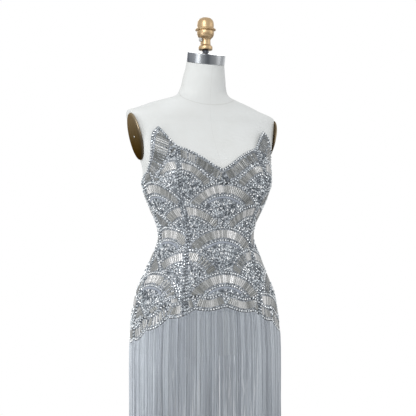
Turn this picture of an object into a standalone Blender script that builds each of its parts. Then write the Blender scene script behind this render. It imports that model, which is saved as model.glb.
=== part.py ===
"""Sleeveless beaded evening gown with a floor-length fringe, standing on a limbless dress form.

Metres, +Z up, the wearer faces -Y and the origin is the centre of the base's underside. Every
section of the figure comes from one table of widths and depths, measured from the waist. The gown's
panels, its fringe and the form under it are all offsets of that one surface, so they nest without
touching. Angles go round the figure from the centre front, positive towards +X (the wearer's left).
"""
import bpy
import bmesh
from math import atan2, cos, exp, hypot, pi, radians, sin
from mathutils import Vector
from mathutils.geometry import delaunay_2d_cdt

# Driving dimensions
WAIST_Z = 1.040          # the gown's waist above the floor
FORM_BOTTOM = -0.300     # the dress form's underside, from the waist
WALL = 0.0020            # beaded cloth
EASE = 0.0015            # clear space between the cloth and the form
SEAM_GAP = 0.0003        # between neighbouring panels, and between any two rigid pieces
HEM_GAP = 0.0008         # between the beaded yoke's edge and the fringe's heading tape

# The gown's outer surface: height from the waist, half width, y of the widest place,
# reach forward and back from the pole's axis, and how square the section is (2 is an ellipse)
SECTIONS = [
    (-0.300, 0.2020, -0.0080, 0.1325, 0.1445, 2.20),
    (-0.230, 0.1980, -0.0065, 0.1290, 0.1425, 2.20),
    (-0.187, 0.1920, -0.0040, 0.1260, 0.1390, 2.20),
    (-0.145, 0.1825, -0.0030, 0.1230, 0.1310, 2.20),
    (-0.104, 0.1640, -0.0030, 0.1170, 0.1170, 2.20),
    (-0.062, 0.1455, -0.0020, 0.1120, 0.1020, 2.20),
    (-0.021, 0.1272, 0.0000, 0.1100, 0.0925, 2.20),
    (0.000, 0.1250, 0.0000, 0.1100, 0.0905, 2.20),
    (0.021, 0.1282, 0.0000, 0.1100, 0.0920, 2.20),
    (0.062, 0.1475, 0.0000, 0.1120, 0.0970, 2.20),
    (0.104, 0.1650, 0.0000, 0.1120, 0.1020, 2.20),
    (0.135, 0.1705, 0.0000, 0.1100, 0.1050, 2.20),
    (0.165, 0.1720, 0.0000, 0.1040, 0.1065, 2.20),
    (0.205, 0.1830, 0.0030, 0.0810, 0.1090, 2.30),
    (0.247, 0.2040, 0.0080, 0.0530, 0.1075, 2.40),
    (0.285, 0.2136, 0.0150, 0.0395, 0.0990, 2.40),
    (0.305, 0.2180, 0.0240, 0.0370, 0.0890, 2.30),
    (0.318, 0.2050, 0.0290, 0.0352, 0.0800, 2.10),
    (0.330, 0.1716, 0.0295, 0.0342, 0.0740, 1.95),
    (0.342, 0.1406, 0.0275, 0.0345, 0.0715, 1.90),
    (0.352, 0.1067, 0.0240, 0.0355, 0.0695, 1.95),
    (0.362, 0.0763, 0.0200, 0.0370, 0.0675, 2.00),
    (0.380, 0.0652, 0.0150, 0.0395, 0.0635, 2.00),
    (0.400, 0.0613, 0.0110, 0.0425, 0.0595, 2.00),
    (0.425, 0.0560, 0.0040, 0.0460, 0.0540, 2.00),
    (0.443, 0.0528, 0.0000, 0.0505, 0.0505, 2.00),
]
# The two bust cups, pressed out of the sections
CUP_REACH = 0.024
CUP_ANGLE = 38.0
CUP_SPREAD = 17.0
CUP_HEIGHT = 0.150
CUP_TALL = 0.055

# Neckline: angle from the centre front, height from the waist
NECKLINE = [
    (0.0, 0.163), (5.0, 0.1735), (11.5, 0.190), (17.0, 0.203), (23.0, 0.213), (30.0, 0.221),
    (32.5, 0.236), (35.5, 0.253), (39.5, 0.268), (46.0, 0.255), (53.0, 0.232), (67.5, 0.190),
    (81.5, 0.159), (96.0, 0.143), (106.0, 0.136), (180.0, 0.136),
]
WING_STAND = 0.007       # how far the pointed wing stands off the chest at its tip
WING_ANGLE = 40.0
WING_SPREAD = 13.0
WING_FOOT = 0.195
WING_TIP = 0.266

# Seams between the panels: height from the waist, then the angles of the front princess seam,
# the side seam and the back princess seam
SEAMS = [
    (0.270, 30.0, 90.0, 140.0),
    (0.221, 30.0, 90.0, 140.0),
    (0.165, 35.0, 90.0, 140.0),
    (0.120, 37.0, 90.0, 139.0),
    (0.000, 41.0, 90.0, 137.0),
    (-0.180, 30.0, 90.0, 144.0),
    (-0.300, 29.0, 90.0, 146.0),
]
# The yoke's lower edge: high at the centre front and back, low at the sides, in shallow scallops
HEM_SIDE = -0.272        # from the waist
HEM_RISE = 0.0875
HEM_POWER = 1.43
HEM_TURN = -6.0          # the gown hangs turned on the hips by this many degrees
SCALLOPS = 16
SCALLOP_DEPTH = 0.009

# Fans of beadwork in columns round the figure, each column half a step above its neighbours.
# A lower fan lies over the ones above it, as scales do.
FAN_COLUMNS = 10
FAN_PITCH = 0.112        # between one fan's base and the next one up
FAN_RADIUS = 0.100
FAN_BAND = 0.030         # width of the raised bugle band at the fan's rim
FAN_LOWEST = -0.306      # the lowest base in the centre-front column, from the waist
FAN_ROWS = 6
FAN_RAISE = 0.0020
FAN_BEVEL = 0.0035
FAN_STEP = 12.0          # degrees between the points along a fan's rim
FAN_HALF = 84.0          # how far a rim runs down each side of its top, in degrees

# Meshing of the panels
FLAT_PER_DEGREE = 0.0027 # metres of cloth in one degree, where a panel is laid out flat
SEAM_STEP = 0.0135       # between points up a seam
HEM_STEP = 3.4           # degrees between points along the hem
NECK_STEP = 6.0
CORNER_CLEAR = 1.5       # degrees that a rule's own corner keeps from a seam
RIM_CLEAR = 0.003        # least distance between two raised points, and from a covering fan
RIM_INSET = 0.005        # least distance of a raised point from its panel's edge
OUTER_LATTICE = (0.022, 0.011)     # spacing of the plain points outside, and their clear room
INNER_LATTICE = (0.0165, 0.009)

# Fringe
STRANDS = 66             # in each half
TAPE_HEIGHT = 0.009
FRINGE_PROUD = 0.001     # the tape lies this far outside the gown's own surface
FRINGE_END_Z = 0.030

# Dress form: heights from the waist
FORM_COLUMNS = 36
ARM_PLATE_FOOT = (0.1653, 0.160)   # half width and height from the waist where the flat begins
ARM_PLATE_LEAN = 0.248             # how far it leans out for each metre up
PLATE_HEIGHT = 0.121
PLATE_WIDTH = 0.082
PLATE_THICK = 0.005
PLATE_Y = 0.012
PLATE_Z = 0.247
PLATE_SIDES = 28
PLATE_SECTION = ((1.0, SEAM_GAP), (1.0, 0.6 * PLATE_THICK), (0.9, PLATE_THICK))   # share of the oval, out
NECK_TILT = 0.240        # how steeply the neck's top and its cap rise towards the back
NECK_TILT_FROM = 0.360
CAP_TOP = 0.4690         # the cap's top and underside, where the pole's axis meets them
CAP_BOTTOM = 0.4433
CAP_RADIUS = 0.0498
CAP_EDGE = 0.0012

# Finial: its turned outline as (radius, height from the waist), after a first ring on the stem's top
STEM_RADIUS = 0.0083
STEM_HEIGHT = 0.0076
FINIAL_FOOT = 0.0165     # radius
FINIAL_OUTLINE = [
    (0.0180, 0.4790), (0.0180, 0.4850), (0.0165, 0.4880), (0.0134, 0.4920), (0.0130, 0.5040),
    (0.0150, 0.5080), (0.0200, 0.5140), (0.0219, 0.5200), (0.0219, 0.5262), (0.0262, 0.5280),
    (0.0266, 0.5298), (0.0258, 0.5318), (0.0216, 0.5335), (0.0214, 0.5430), (0.0202, 0.5490),
    (0.0146, 0.5566), (0.0060, 0.5614),
]
THUMB_HEIGHT = 0.503
THUMB_DIRECTION = (-0.95, -0.31)
# Thumbscrew: its turned outline as (radius, reach from the finial's axis)
THUMB_OUTLINE = [
    (0.0019, 0.0134), (0.0019, 0.0146), (0.0048, 0.0149), (0.0054, 0.0164), (0.0050, 0.0190),
    (0.0034, 0.0200),
]

# Stand
POLE_RADIUS = 0.016
BASE_RADIUS = 0.180
BASE_THICK = 0.012
BASE_BEVEL = 0.0015


def between(table, height):
    """The table's row at a height, on a smooth curve through its rows."""
    rows = sorted(table)
    height = min(max(height, rows[0][0]), rows[-1][0])
    low = max(i for i in range(len(rows) - 1) if rows[i][0] <= height or i == 0)
    start, end = rows[low], rows[low + 1]
    step = end[0] - start[0]
    t = (height - start[0]) / step

    def slope(index, column):
        before = rows[max(index - 1, 0)]
        after = rows[min(index + 1, len(rows) - 1)]
        return (after[column] - before[column]) / (after[0] - before[0])

    return [
        (2 * t ** 3 - 3 * t ** 2 + 1) * start[c] + (t ** 3 - 2 * t ** 2 + t) * step * slope(low, c)
        + (3 * t ** 2 - 2 * t ** 3) * end[c] + (t ** 3 - t ** 2) * step * slope(low + 1, c)
        for c in range(1, len(start))
    ]


def straight(table, value):
    """The second column at a value of the first, in straight runs."""
    for (x0, y0), (x1, y1) in zip(table, table[1:]):
        if value <= x1:
            return y0 + (y1 - y0) * (value - x0) / (x1 - x0)
    return table[-1][1]


def ease_in(value, start, end):
    t = min(max((value - start) / (end - start), 0.0), 1.0)
    return t * t * (3 - 2 * t)


def from_front(angle):
    """Degrees from the centre front, the same on both sides."""
    return abs((angle + 180.0) % 360.0 - 180.0)


def signed_power(value, power):
    return abs(value) ** power * (1 if value >= 0 else -1)


def figure(angle, height):
    """A point of the gown's outer surface, without its wings."""
    half, middle, front, back, square = between(SECTIONS, height)
    side, ahead = sin(radians(angle)), cos(radians(angle))
    reach = front + middle if ahead > 0 else back - middle
    x = half * signed_power(side, 2 / square)
    y = middle - reach * signed_power(ahead, 2 / square)
    around = (from_front(angle) - CUP_ANGLE) / CUP_SPREAD
    cup = CUP_REACH * exp(-0.5 * around ** 2 - 0.5 * ((height - CUP_HEIGHT) / CUP_TALL) ** 2)
    return Vector((x + cup * side, y - cup * ahead, height))


def outward(angle, height):
    """The figure's unit normal, pointing away from the body."""
    top = min(height + 0.002, SECTIONS[-1][0])
    bottom = max(height - 0.002, SECTIONS[0][0])
    across = figure(angle + 1, height) - figure(angle - 1, height)
    up = figure(angle, top) - figure(angle, bottom)
    return across.cross(up).normalized()


def cloth_point(angle, height, out):
    """A point at a distance outside the figure, with the wings standing off the chest."""
    around = (from_front(angle) - WING_ANGLE) / WING_SPREAD
    stand = WING_STAND * ease_in(height, WING_FOOT, WING_TIP) * exp(-0.5 * around ** 2)
    point = figure(angle, height) + outward(angle, height) * (out + stand)
    return point + Vector((0, 0, WAIST_Z))


def neckline(angle):
    return straight(NECKLINE, from_front(angle))


def hem(angle):
    high = HEM_RISE * abs(cos(radians(angle - HEM_TURN))) ** HEM_POWER
    scallop = SCALLOP_DEPTH * (0.5 - abs(sin(radians(angle * SCALLOPS / 2))))
    return HEM_SIDE + high + scallop


def degree_length(angle, height):
    """How many metres one degree is worth at a place on the figure."""
    return (figure(angle + 4, height) - figure(angle - 4, height)).length / 8


def material(name, colour, roughness, metallic=0.0):
    made = bpy.data.materials.new(name)
    made.use_nodes = True
    shader = made.node_tree.nodes["Principled BSDF"]
    shader.inputs["Base Color"].default_value = (*colour, 1)
    shader.inputs["Roughness"].default_value = roughness
    shader.inputs["Metallic"].default_value = metallic
    return made


def place(name, bm, finish, smooth_angle=40):
    """Turns a finished bmesh into a named object."""
    mesh = bpy.data.meshes.new(name)
    bm.to_mesh(mesh)
    bm.free()
    mesh.materials.append(finish)
    mesh.shade_smooth()
    mesh.set_sharp_from_angle(angle=radians(smooth_angle))
    made = bpy.data.objects.new(name, mesh)
    bpy.context.scene.collection.objects.link(made)
    return made


def join_rings(bm, rings):
    """A closed skin over rings of points, listed from one end to the other."""
    count = len(rings[0])
    for lower, upper in zip(rings, rings[1:]):
        for i in range(count):
            j = (i + 1) % count
            bm.faces.new((lower[i], lower[j], upper[j], upper[i]))
    bm.faces.new(list(reversed(rings[0])))
    bm.faces.new(rings[-1])


def lathe(name, profile, finish, sides, centre=(0, 0, 0), axis=(0, 0, 1)):
    """A turned piece. The profile is (radius, height) from its bottom to its top."""
    bm = bmesh.new()
    turn = Vector((0, 0, 1)).rotation_difference(Vector(axis)).to_matrix()
    rings = []
    for radius, height in profile:
        ring = []
        for i in range(sides):
            angle = 2 * pi * i / sides
            spot = Vector((radius * cos(angle), radius * sin(angle), height))
            ring.append(bm.verts.new(turn @ spot + Vector(centre)))
        rings.append(ring)
    join_rings(bm, rings)
    return place(name, bm, finish)


# Bodice

def seam_angle(index, height):
    """The angle of a seam at a height: 0 is the front princess seam, 1 the side, 2 the back one."""
    return between(SEAMS, height)[index]


class Panel:
    """One cut piece of the bodice, from one seam to the next.

    left and right are functions of the height that give the seams' angles.
    """

    def __init__(self, left, right):
        self.left = left
        self.right = right

    def edge(self, side, inset):
        """The angles and heights up one seam, with half the seam gap taken off."""
        seam = self.left if side < 0 else self.right
        low, high = HEM_SIDE, NECKLINE[0][1]
        for _ in range(5):
            low, high = hem(seam(low)), neckline(seam(high))
        count = round((high - low) / SEAM_STEP)
        points = []
        for i in range(count + 1):
            height = low + (high - low) * i / count
            angle = seam(height)
            points.append((angle - side * inset / degree_length(angle, height), height))
        return points

    def border(self):
        """The panel's outline, anticlockwise from its lower left corner as seen from outside."""
        left = self.edge(-1, SEAM_GAP / 2)
        right = self.edge(1, SEAM_GAP / 2)
        cusps = [360.0 / SCALLOPS * i for i in range(-SCALLOPS, SCALLOPS)]
        bottom = self.run(left[0][0], right[0][0], hem, HEM_STEP, cusps)
        corners = [a * s for a, _ in NECKLINE for s in (-1, 1)]
        top = self.run(left[-1][0], right[-1][0], neckline, NECK_STEP, corners)
        return bottom + right[1:-1] + list(reversed(top)) + list(reversed(left[1:-1]))

    @staticmethod
    def run(start, end, rule, step, corners):
        """Points along the top or the bottom edge, through the rule's own corners."""
        kept = sorted(c for c in set(corners) if start + CORNER_CLEAR < c < end - CORNER_CLEAR)
        stops = [start] + kept + [end]
        angles = []
        for low, high in zip(stops, stops[1:]):
            count = max(1, round((high - low) / step))
            angles += [low + (high - low) * i / count for i in range(count)]
        return [(a, rule(a)) for a in angles + [end]]


def inside(outline, x, y):
    """Whether a flat point lies inside a closed outline."""
    within = False
    for (x0, y0), (x1, y1) in zip(outline, outline[1:] + outline[:1]):
        if (y0 > y) != (y1 > y) and x < x0 + (x1 - x0) * (y - y0) / (y1 - y0):
            within = not within
    return within


def edge_distance(outline, x, y):
    """How far a flat point is from the nearest edge of an outline."""
    nearest = 1.0
    for (x0, y0), (x1, y1) in zip(outline, outline[1:] + outline[:1]):
        run = hypot(x1 - x0, y1 - y0)
        along = ((x - x0) * (x1 - x0) + (y - y0) * (y1 - y0)) / run ** 2
        along = min(max(along, 0.0), 1.0)
        nearest = min(nearest, hypot(x - x0 - along * (x1 - x0), y - y0 - along * (y1 - y0)))
    return nearest


def fan_bases():
    """Angle and height of the base of every fan, the lowest first."""
    bases = []
    for column in range(FAN_COLUMNS):
        shift = FAN_PITCH / 2 if column % 2 else 0.0
        for row in range(FAN_ROWS):
            angle = 360.0 / FAN_COLUMNS * column
            bases.append((FAN_LOWEST + row * FAN_PITCH - shift, angle))
    return sorted(bases)


def from_base(base, angle, height):
    """How far a place on the cloth is from a fan's base."""
    low, centre = base
    turn = (angle - centre + 180.0) % 360.0 - 180.0
    return hypot(turn * degree_length(angle, height), height - low)


def fan_points():
    """Angle, height and raise of the points along the rims of every fan that shows, all round."""
    points = []
    rims = (
        (FAN_RADIUS, 0.0),
        (FAN_RADIUS - FAN_BEVEL, FAN_RAISE),
        (FAN_RADIUS - FAN_BAND + FAN_BEVEL, FAN_RAISE),
        (FAN_RADIUS - FAN_BAND, 0.0),
    )
    bases = fan_bases()
    turns = round(FAN_HALF / FAN_STEP)
    for index, (low, centre) in enumerate(bases):
        near = [b for b in bases[:index] if low - b[0] < 2 * FAN_RADIUS and b[0] < low]
        for radius, lift in rims:
            for i in range(-turns, turns + 1):
                turn = radians(i * FAN_STEP)
                height = low + radius * cos(turn)
                if not HEM_SIDE < height < WING_TIP:
                    continue
                angle = centre + radius * sin(turn) / degree_length(centre, height)
                covered = any(from_base(b, angle, height) < FAN_RADIUS + RIM_CLEAR for b in near)
                if not covered:
                    points.append(((angle + 180.0) % 360.0 - 180.0, height, lift))
    return points


def laid_out(angle, height):
    return angle * FLAT_PER_DEGREE, height


def fill(outline, chosen, spacing, clear):
    """Adds plain points on a lattice wherever the chosen ones leave room."""
    xs = [x for x, _ in outline]
    ys = [y for _, y in outline]
    taken = list(chosen)
    across = int((max(xs) - min(xs)) / spacing) + 2
    up = int((max(ys) - min(ys)) / spacing) + 2
    for j in range(up):
        for i in range(across):
            x = min(xs) + (i + 0.5 * (j % 2)) * spacing
            y = min(ys) + j * spacing
            if not inside(outline, x, y) or edge_distance(outline, x, y) < clear:
                continue
            if all(hypot(x - px, y - py) > clear for px, py, _ in taken):
                taken.append((x, y, 0.0))
    return taken


def skin(outline, points):
    """Triangles over an outline and the points inside it, as index triples."""
    flat = [Vector(p) for p in outline] + [Vector((x, y)) for x, y, _ in points]
    result = delaunay_2d_cdt(flat, [], [list(range(len(outline)))], 1, 1e-7)
    origin = [ids[0] for ids in result[3]]
    return [tuple(origin[i] for i in face) for face in result[2]]


def bodice_piece(name, panel, finish, fans):
    """A beaded wall: fans raised on its outside, plain inside, 2 mm thick between."""
    border = panel.border()
    outline = [laid_out(a, z) for a, z in border]
    raised = []
    for angle, height, lift in fans:
        x, y = laid_out(angle, height)
        if inside(outline, x, y) and edge_distance(outline, x, y) > RIM_INSET:
            if all(hypot(x - px, y - py) > RIM_CLEAR for px, py, _ in raised):
                raised.append((x, y, lift))
    outer = fill(outline, raised, *OUTER_LATTICE)
    inner = fill(outline, [], *INNER_LATTICE)
    bm = bmesh.new()
    walls = []
    for points, out, flip in ((outer, 0.0, False), (inner, -WALL, True)):
        verts = [bm.verts.new(cloth_point(a, z, out)) for a, z in border]
        walls.append(list(verts))
        for x, y, lift in points:
            verts.append(bm.verts.new(cloth_point(x / FLAT_PER_DEGREE, y, out + lift)))
        for face in skin(outline, points):
            corners = [verts[i] for i in face]
            if flip:
                corners.reverse()
            bm.faces.new(corners)
    outer_edge, inner_edge = walls
    for i in range(len(border)):
        j = (i + 1) % len(border)
        bm.faces.new((outer_edge[j], outer_edge[i], inner_edge[i], inner_edge[j]))
    return place(name, bm, finish)


def mirrored(seam):
    return lambda height: -seam(height)


# Fringe

def fringe_half(name, start, end, finish):
    """A heading tape under the yoke's edge with its strands hanging plumb from it, as one body.

    The tape is a row of short cells. Each second cell's underside is drawn down into a strand, over
    the hip while the form is still widening and then straight to just above the floor.
    """
    bm = bmesh.new()
    cells = 2 * STRANDS + 1
    inset = SEAM_GAP / degree_length(start, HEM_SIDE)
    angles = [start + inset + (end - start - 2 * inset) * i / cells for i in range(cells + 1)]

    def corner_pair(angle, height, z=None):
        pair = []
        for out in (FRINGE_PROUD, FRINGE_PROUD - WALL):
            spot = cloth_point(angle, height, out)
            if z is not None:
                spot.z = z
            pair.append(bm.verts.new(spot))
        return pair

    top = [corner_pair(a, hem(a) - HEM_GAP) for a in angles]
    low = [corner_pair(a, hem(a) - HEM_GAP - TAPE_HEIGHT) for a in angles]

    def ring_sides(upper, lower):
        """Four walls between two sections, each (outer, outer, inner, inner) going round."""
        for i in range(4):
            j = (i + 1) % 4
            bm.faces.new((upper[j], upper[i], lower[i], lower[j]))

    for i in range(cells):
        j = i + 1
        bm.faces.new((top[i][0], low[i][0], low[j][0], top[j][0]))
        bm.faces.new((top[i][1], top[j][1], low[j][1], low[i][1]))
        bm.faces.new((top[i][0], top[j][0], top[j][1], top[i][1]))
        if i % 2 == 0:
            bm.faces.new((low[i][0], low[i][1], low[j][1], low[j][0]))
            continue
        root = [low[i][0], low[j][0], low[j][1], low[i][1]]
        ends = []
        for z in (FORM_BOTTOM + WAIST_Z, FRINGE_END_Z):
            left = corner_pair(angles[i], FORM_BOTTOM, z)
            right = corner_pair(angles[j], FORM_BOTTOM, z)
            ends.append([left[0], right[0], right[1], left[1]])
        ring_sides(root, ends[0])
        ring_sides(ends[0], ends[1])
        bm.faces.new(list(reversed(ends[1])))
    bm.faces.new((top[0][0], top[0][1], low[0][1], low[0][0]))
    bm.faces.new((top[-1][1], top[-1][0], low[-1][0], low[-1][1]))
    bmesh.ops.recalc_face_normals(bm, faces=bm.faces)
    return place(name, bm, finish)


# Dress form and stand

def arm_flat(height):
    """Half width of the flat that an arm plate lies on, at a height from the waist."""
    foot_width, foot_height = ARM_PLATE_FOOT
    return foot_width + ARM_PLATE_LEAN * (height - foot_height)


def neck_tilt(height):
    """How much a section of the neck rises towards the back, for each metre of depth."""
    return NECK_TILT * min(max((height - NECK_TILT_FROM) / (SECTIONS[-1][0] - NECK_TILT_FROM), 0.0), 1.0)


def form_torso(finish):
    """Canvas-covered torso and neck, with the flats for the arm plates."""
    bm = bmesh.new()
    heights = [row[0] for row in SECTIONS]
    extra = [(a + b) / 2 for a, b in zip(heights, heights[1:]) if b - a > 0.030 or abs(a + b) < 0.1]
    rings = []
    for height in sorted(heights + extra):
        ring = []
        for i in range(FORM_COLUMNS):
            angle = 360.0 * i / FORM_COLUMNS
            spot = figure(angle, height) - outward(angle, height) * (WALL + EASE)
            if height > ARM_PLATE_FOOT[1]:
                limit = arm_flat(spot.z)
                spot.x = min(max(spot.x, -limit), limit)
            spot.z += neck_tilt(height) * spot.y
            ring.append(bm.verts.new(spot + Vector((0, 0, WAIST_Z))))
        rings.append(ring)
    for end, tilt, height in ((rings[0], 0.0, heights[0]), (rings[-1], NECK_TILT, heights[-1])):
        for vert in end:
            vert.co.z = WAIST_Z + height + tilt * vert.co.y
    join_rings(bm, rings)
    return place("form_torso", bm, finish)


def arm_plate(name, side, finish):
    """An oval metal plate lying on the flat of the armhole, with a domed edge."""
    lean = atan2(ARM_PLATE_LEAN, 1)
    normal = Vector((side * cos(lean), 0, -sin(lean)))
    tall = Vector((side * sin(lean), 0, cos(lean)))
    wide = normal.cross(tall) * -1
    centre = Vector((side * arm_flat(PLATE_Z), PLATE_Y, WAIST_Z + PLATE_Z))
    bm = bmesh.new()
    rings = []
    for share, out in PLATE_SECTION:
        ring = []
        for i in range(PLATE_SIDES):
            turn = 2 * pi * i / PLATE_SIDES
            spot = centre + normal * out + wide * (PLATE_WIDTH / 2 * share * cos(turn))
            ring.append(bm.verts.new(spot + tall * (PLATE_HEIGHT / 2 * share * sin(turn))))
        rings.append(ring)
    join_rings(bm, rings)
    bmesh.ops.recalc_face_normals(bm, faces=bm.faces)
    return place(name, bm, finish)


def neck_cap(finish):
    """The flat steel cap on the neck, square to the neck's forward lean."""
    lean = atan2(NECK_TILT, 1)
    depth = (CAP_TOP - CAP_BOTTOM) * cos(lean)
    profile = [
        (CAP_RADIUS - CAP_EDGE, 0), (CAP_RADIUS, CAP_EDGE), (CAP_RADIUS, depth - CAP_EDGE),
        (CAP_RADIUS - CAP_EDGE, depth),
    ]
    foot = (0, 0, WAIST_Z + CAP_BOTTOM)
    return lathe("neck_cap", profile, finish, 32, centre=foot, axis=(0, -sin(lean), cos(lean)))


def finial(finish, steel):
    """Stem out of the cap, the turned brass finial on it, and its thumbscrew."""
    stem_foot = WAIST_Z + CAP_TOP + SEAM_GAP
    stem_top = stem_foot + STEM_HEIGHT
    stem = lathe("finial_stem", [(STEM_RADIUS, stem_foot), (STEM_RADIUS, stem_top)], steel, 20)
    for vert in stem.data.vertices:
        if vert.co.z < stem_foot + STEM_HEIGHT / 2:
            vert.co.z += NECK_TILT * vert.co.y
    profile = [(FINIAL_FOOT, stem_top + SEAM_GAP)]
    profile += [(radius, WAIST_Z + height) for radius, height in FINIAL_OUTLINE]
    lathe("finial", profile, finish, 22)
    aim = Vector((*THUMB_DIRECTION, 0)).normalized()
    lathe("thumbscrew", THUMB_OUTLINE, steel, 14, centre=(0, 0, WAIST_Z + THUMB_HEIGHT), axis=aim)


def stand(steel):
    """A plain pole under the torso on a round base."""
    base = [
        (BASE_RADIUS - BASE_BEVEL, 0), (BASE_RADIUS, BASE_BEVEL), (BASE_RADIUS, BASE_THICK - BASE_BEVEL),
        (BASE_RADIUS - BASE_BEVEL, BASE_THICK),
    ]
    lathe("stand_base", base, steel, 48)
    pole_top = WAIST_Z + FORM_BOTTOM - SEAM_GAP
    pole = [(POLE_RADIUS, BASE_THICK + SEAM_GAP), (POLE_RADIUS, pole_top)]
    lathe("stand_pole", pole, steel, 20)


def build():
    for old in list(bpy.data.objects):
        bpy.data.objects.remove(old)
    beaded = material("beaded_cloth", (0.42, 0.42, 0.40), 0.35, 0.4)
    strands = material("fringe", (0.36, 0.37, 0.43), 0.5)
    canvas = material("canvas", (0.75, 0.74, 0.70), 0.9)
    bronze = material("bronze", (0.17, 0.11, 0.05), 0.35, 0.9)
    brass = material("brass", (0.50, 0.33, 0.15), 0.35, 1.0)
    steel = material("steel", (0.55, 0.55, 0.56), 0.25, 1.0)

    fans = fan_points()

    def princess(height):
        return seam_angle(0, height)

    def side(height):
        return seam_angle(1, height)

    def back_princess(height):
        return seam_angle(2, height)

    def centre_back(height):
        return 180.0

    bodice_piece("bodice_front", Panel(mirrored(princess), princess), beaded, fans)
    bodice_piece("bodice_side_front_left", Panel(princess, side), beaded, fans)
    bodice_piece("bodice_side_front_right", Panel(mirrored(side), mirrored(princess)), beaded, fans)
    bodice_piece("bodice_side_back_left", Panel(side, back_princess), beaded, fans)
    bodice_piece("bodice_side_back_right", Panel(mirrored(back_princess), mirrored(side)), beaded, fans)
    bodice_piece("bodice_back_left", Panel(back_princess, centre_back), beaded, fans)
    bodice_piece("bodice_back_right", Panel(mirrored(centre_back), mirrored(back_princess)), beaded, fans)

    fringe_half("fringe_front", -90.0, 90.0, strands)
    fringe_half("fringe_back", 90.0, 270.0, strands)

    form_torso(canvas)
    arm_plate("arm_plate_left", 1, bronze)
    arm_plate("arm_plate_right", -1, bronze)
    neck_cap(steel)
    finial(brass, steel)
    stand(steel)


build()
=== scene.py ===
from bisect import bisect_right
from functools import lru_cache
from math import atan2, cos, exp, floor, hypot, pi, radians, sin, sqrt
from random import Random

import bmesh
import bpy
from mathutils import Matrix, Vector
from mathutils.noise import noise


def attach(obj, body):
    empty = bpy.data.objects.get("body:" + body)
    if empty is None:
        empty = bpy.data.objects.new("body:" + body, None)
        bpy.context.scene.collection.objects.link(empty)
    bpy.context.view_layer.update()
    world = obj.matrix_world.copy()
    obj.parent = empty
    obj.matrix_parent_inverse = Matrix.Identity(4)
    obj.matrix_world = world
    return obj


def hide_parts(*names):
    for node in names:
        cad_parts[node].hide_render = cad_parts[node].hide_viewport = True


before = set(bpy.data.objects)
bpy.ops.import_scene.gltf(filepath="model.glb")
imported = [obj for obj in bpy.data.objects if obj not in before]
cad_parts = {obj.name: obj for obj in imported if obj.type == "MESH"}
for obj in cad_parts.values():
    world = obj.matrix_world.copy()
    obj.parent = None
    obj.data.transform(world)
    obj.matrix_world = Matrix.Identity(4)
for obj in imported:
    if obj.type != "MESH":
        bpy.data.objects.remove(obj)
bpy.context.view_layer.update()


# Camera
# The photograph looks level at the gown's right front from waist height, about 2.5 m away. It takes in
# the figure from the finial to a hand's breadth below the knees, so the lens is shifted a little up.
WAIST_Z = 1.040
PHOTO_SIDE = 416.0
CAMERA_TURN = radians(-24.0)
CAMERA_DISTANCE = 2.5
PIXELS_AT_ONE_METRE = 962.5
SHIFT_ASIDE, SHIFT_UP = 2.5, 26.0      # pixels from the line of sight to the photograph's middle

photo_camera = bpy.data.objects.new("photo_camera", bpy.data.cameras.new("photo_camera"))
bpy.context.scene.collection.objects.link(photo_camera)
photo_camera.data.sensor_width = 36.0
photo_camera.data.lens = 36.0 * PIXELS_AT_ONE_METRE / PHOTO_SIDE
photo_camera.data.shift_x = SHIFT_ASIDE / PHOTO_SIDE
photo_camera.data.shift_y = SHIFT_UP / PHOTO_SIDE
photo_camera.location = (
    CAMERA_DISTANCE * sin(CAMERA_TURN), -CAMERA_DISTANCE * cos(CAMERA_TURN), WAIST_Z,
)
photo_camera.rotation_euler = (pi / 2, 0, CAMERA_TURN)
bpy.context.scene.camera = photo_camera
bpy.context.scene.view_settings.view_transform = "Standard"


# Studio light and floor
# A white room lit softly from above and the left, with a darker side so that glass and metal have
# something to reflect, and a pale round floor that ends below the photograph's edge.
FLOOR_RADIUS = 2.3
SOFT_LIGHTS = (
    # name, place, size, watts
    ("key_light", (-2.4, -2.6, 2.9), 1.6, 58.0),
    ("low_left_light", (-2.6, -0.7, 0.7), 1.2, 16.0),
    ("fill_light", (2.8, -1.8, 1.9), 1.8, 10.0),
    ("back_light", (0.8, 3.0, 2.4), 1.8, 34.0),
)

for light_name, light_place, light_side, light_watts in SOFT_LIGHTS:
    lamp = bpy.data.lights.new(light_name, "AREA")
    lamp.shape = "SQUARE"
    lamp.size = light_side
    lamp.energy = light_watts
    lamp_object = bpy.data.objects.new(light_name, lamp)
    lamp_object.location = light_place
    lamp_aim = Vector((0, 0, WAIST_Z)) - lamp_object.location
    lamp_object.rotation_euler = lamp_aim.to_track_quat("-Z", "Y").to_euler()
    bpy.context.scene.collection.objects.link(lamp_object)

room = bpy.data.worlds.new("white_room")
bpy.context.scene.world = room
room.use_nodes = True
room_nodes = room.node_tree.nodes
room_links = room.node_tree.links
room_nodes.clear()
room_output = room_nodes.new("ShaderNodeOutputWorld")
room_mix = room_nodes.new("ShaderNodeMixShader")
room_white = room_nodes.new("ShaderNodeBackground")
room_white.inputs["Color"].default_value = (1.0, 1.0, 1.0, 1)
room_walls = room_nodes.new("ShaderNodeBackground")
room_walls.inputs["Strength"].default_value = 0.92
room_seen = room_nodes.new("ShaderNodeLightPath")
room_direction = room_nodes.new("ShaderNodeTexCoord")
room_split = room_nodes.new("ShaderNodeSeparateXYZ")
room_height = room_nodes.new("ShaderNodeMapRange")
room_height.inputs["From Min"].default_value = -1.0
room_ramp = room_nodes.new("ShaderNodeValToRGB")
room_ramp.color_ramp.elements[0].position = 0.0
room_ramp.color_ramp.elements[0].color = (0.30, 0.30, 0.31, 1)
room_ramp.color_ramp.elements[1].position = 1.0
room_ramp.color_ramp.elements[1].color = (1.0, 1.0, 1.0, 1)
for stop, grey in ((0.40, 0.42), (0.52, 0.80), (0.62, 1.05), (0.80, 0.90)):
    ramp_stop = room_ramp.color_ramp.elements.new(stop)
    ramp_stop.color = (grey, grey, grey, 1)
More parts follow.
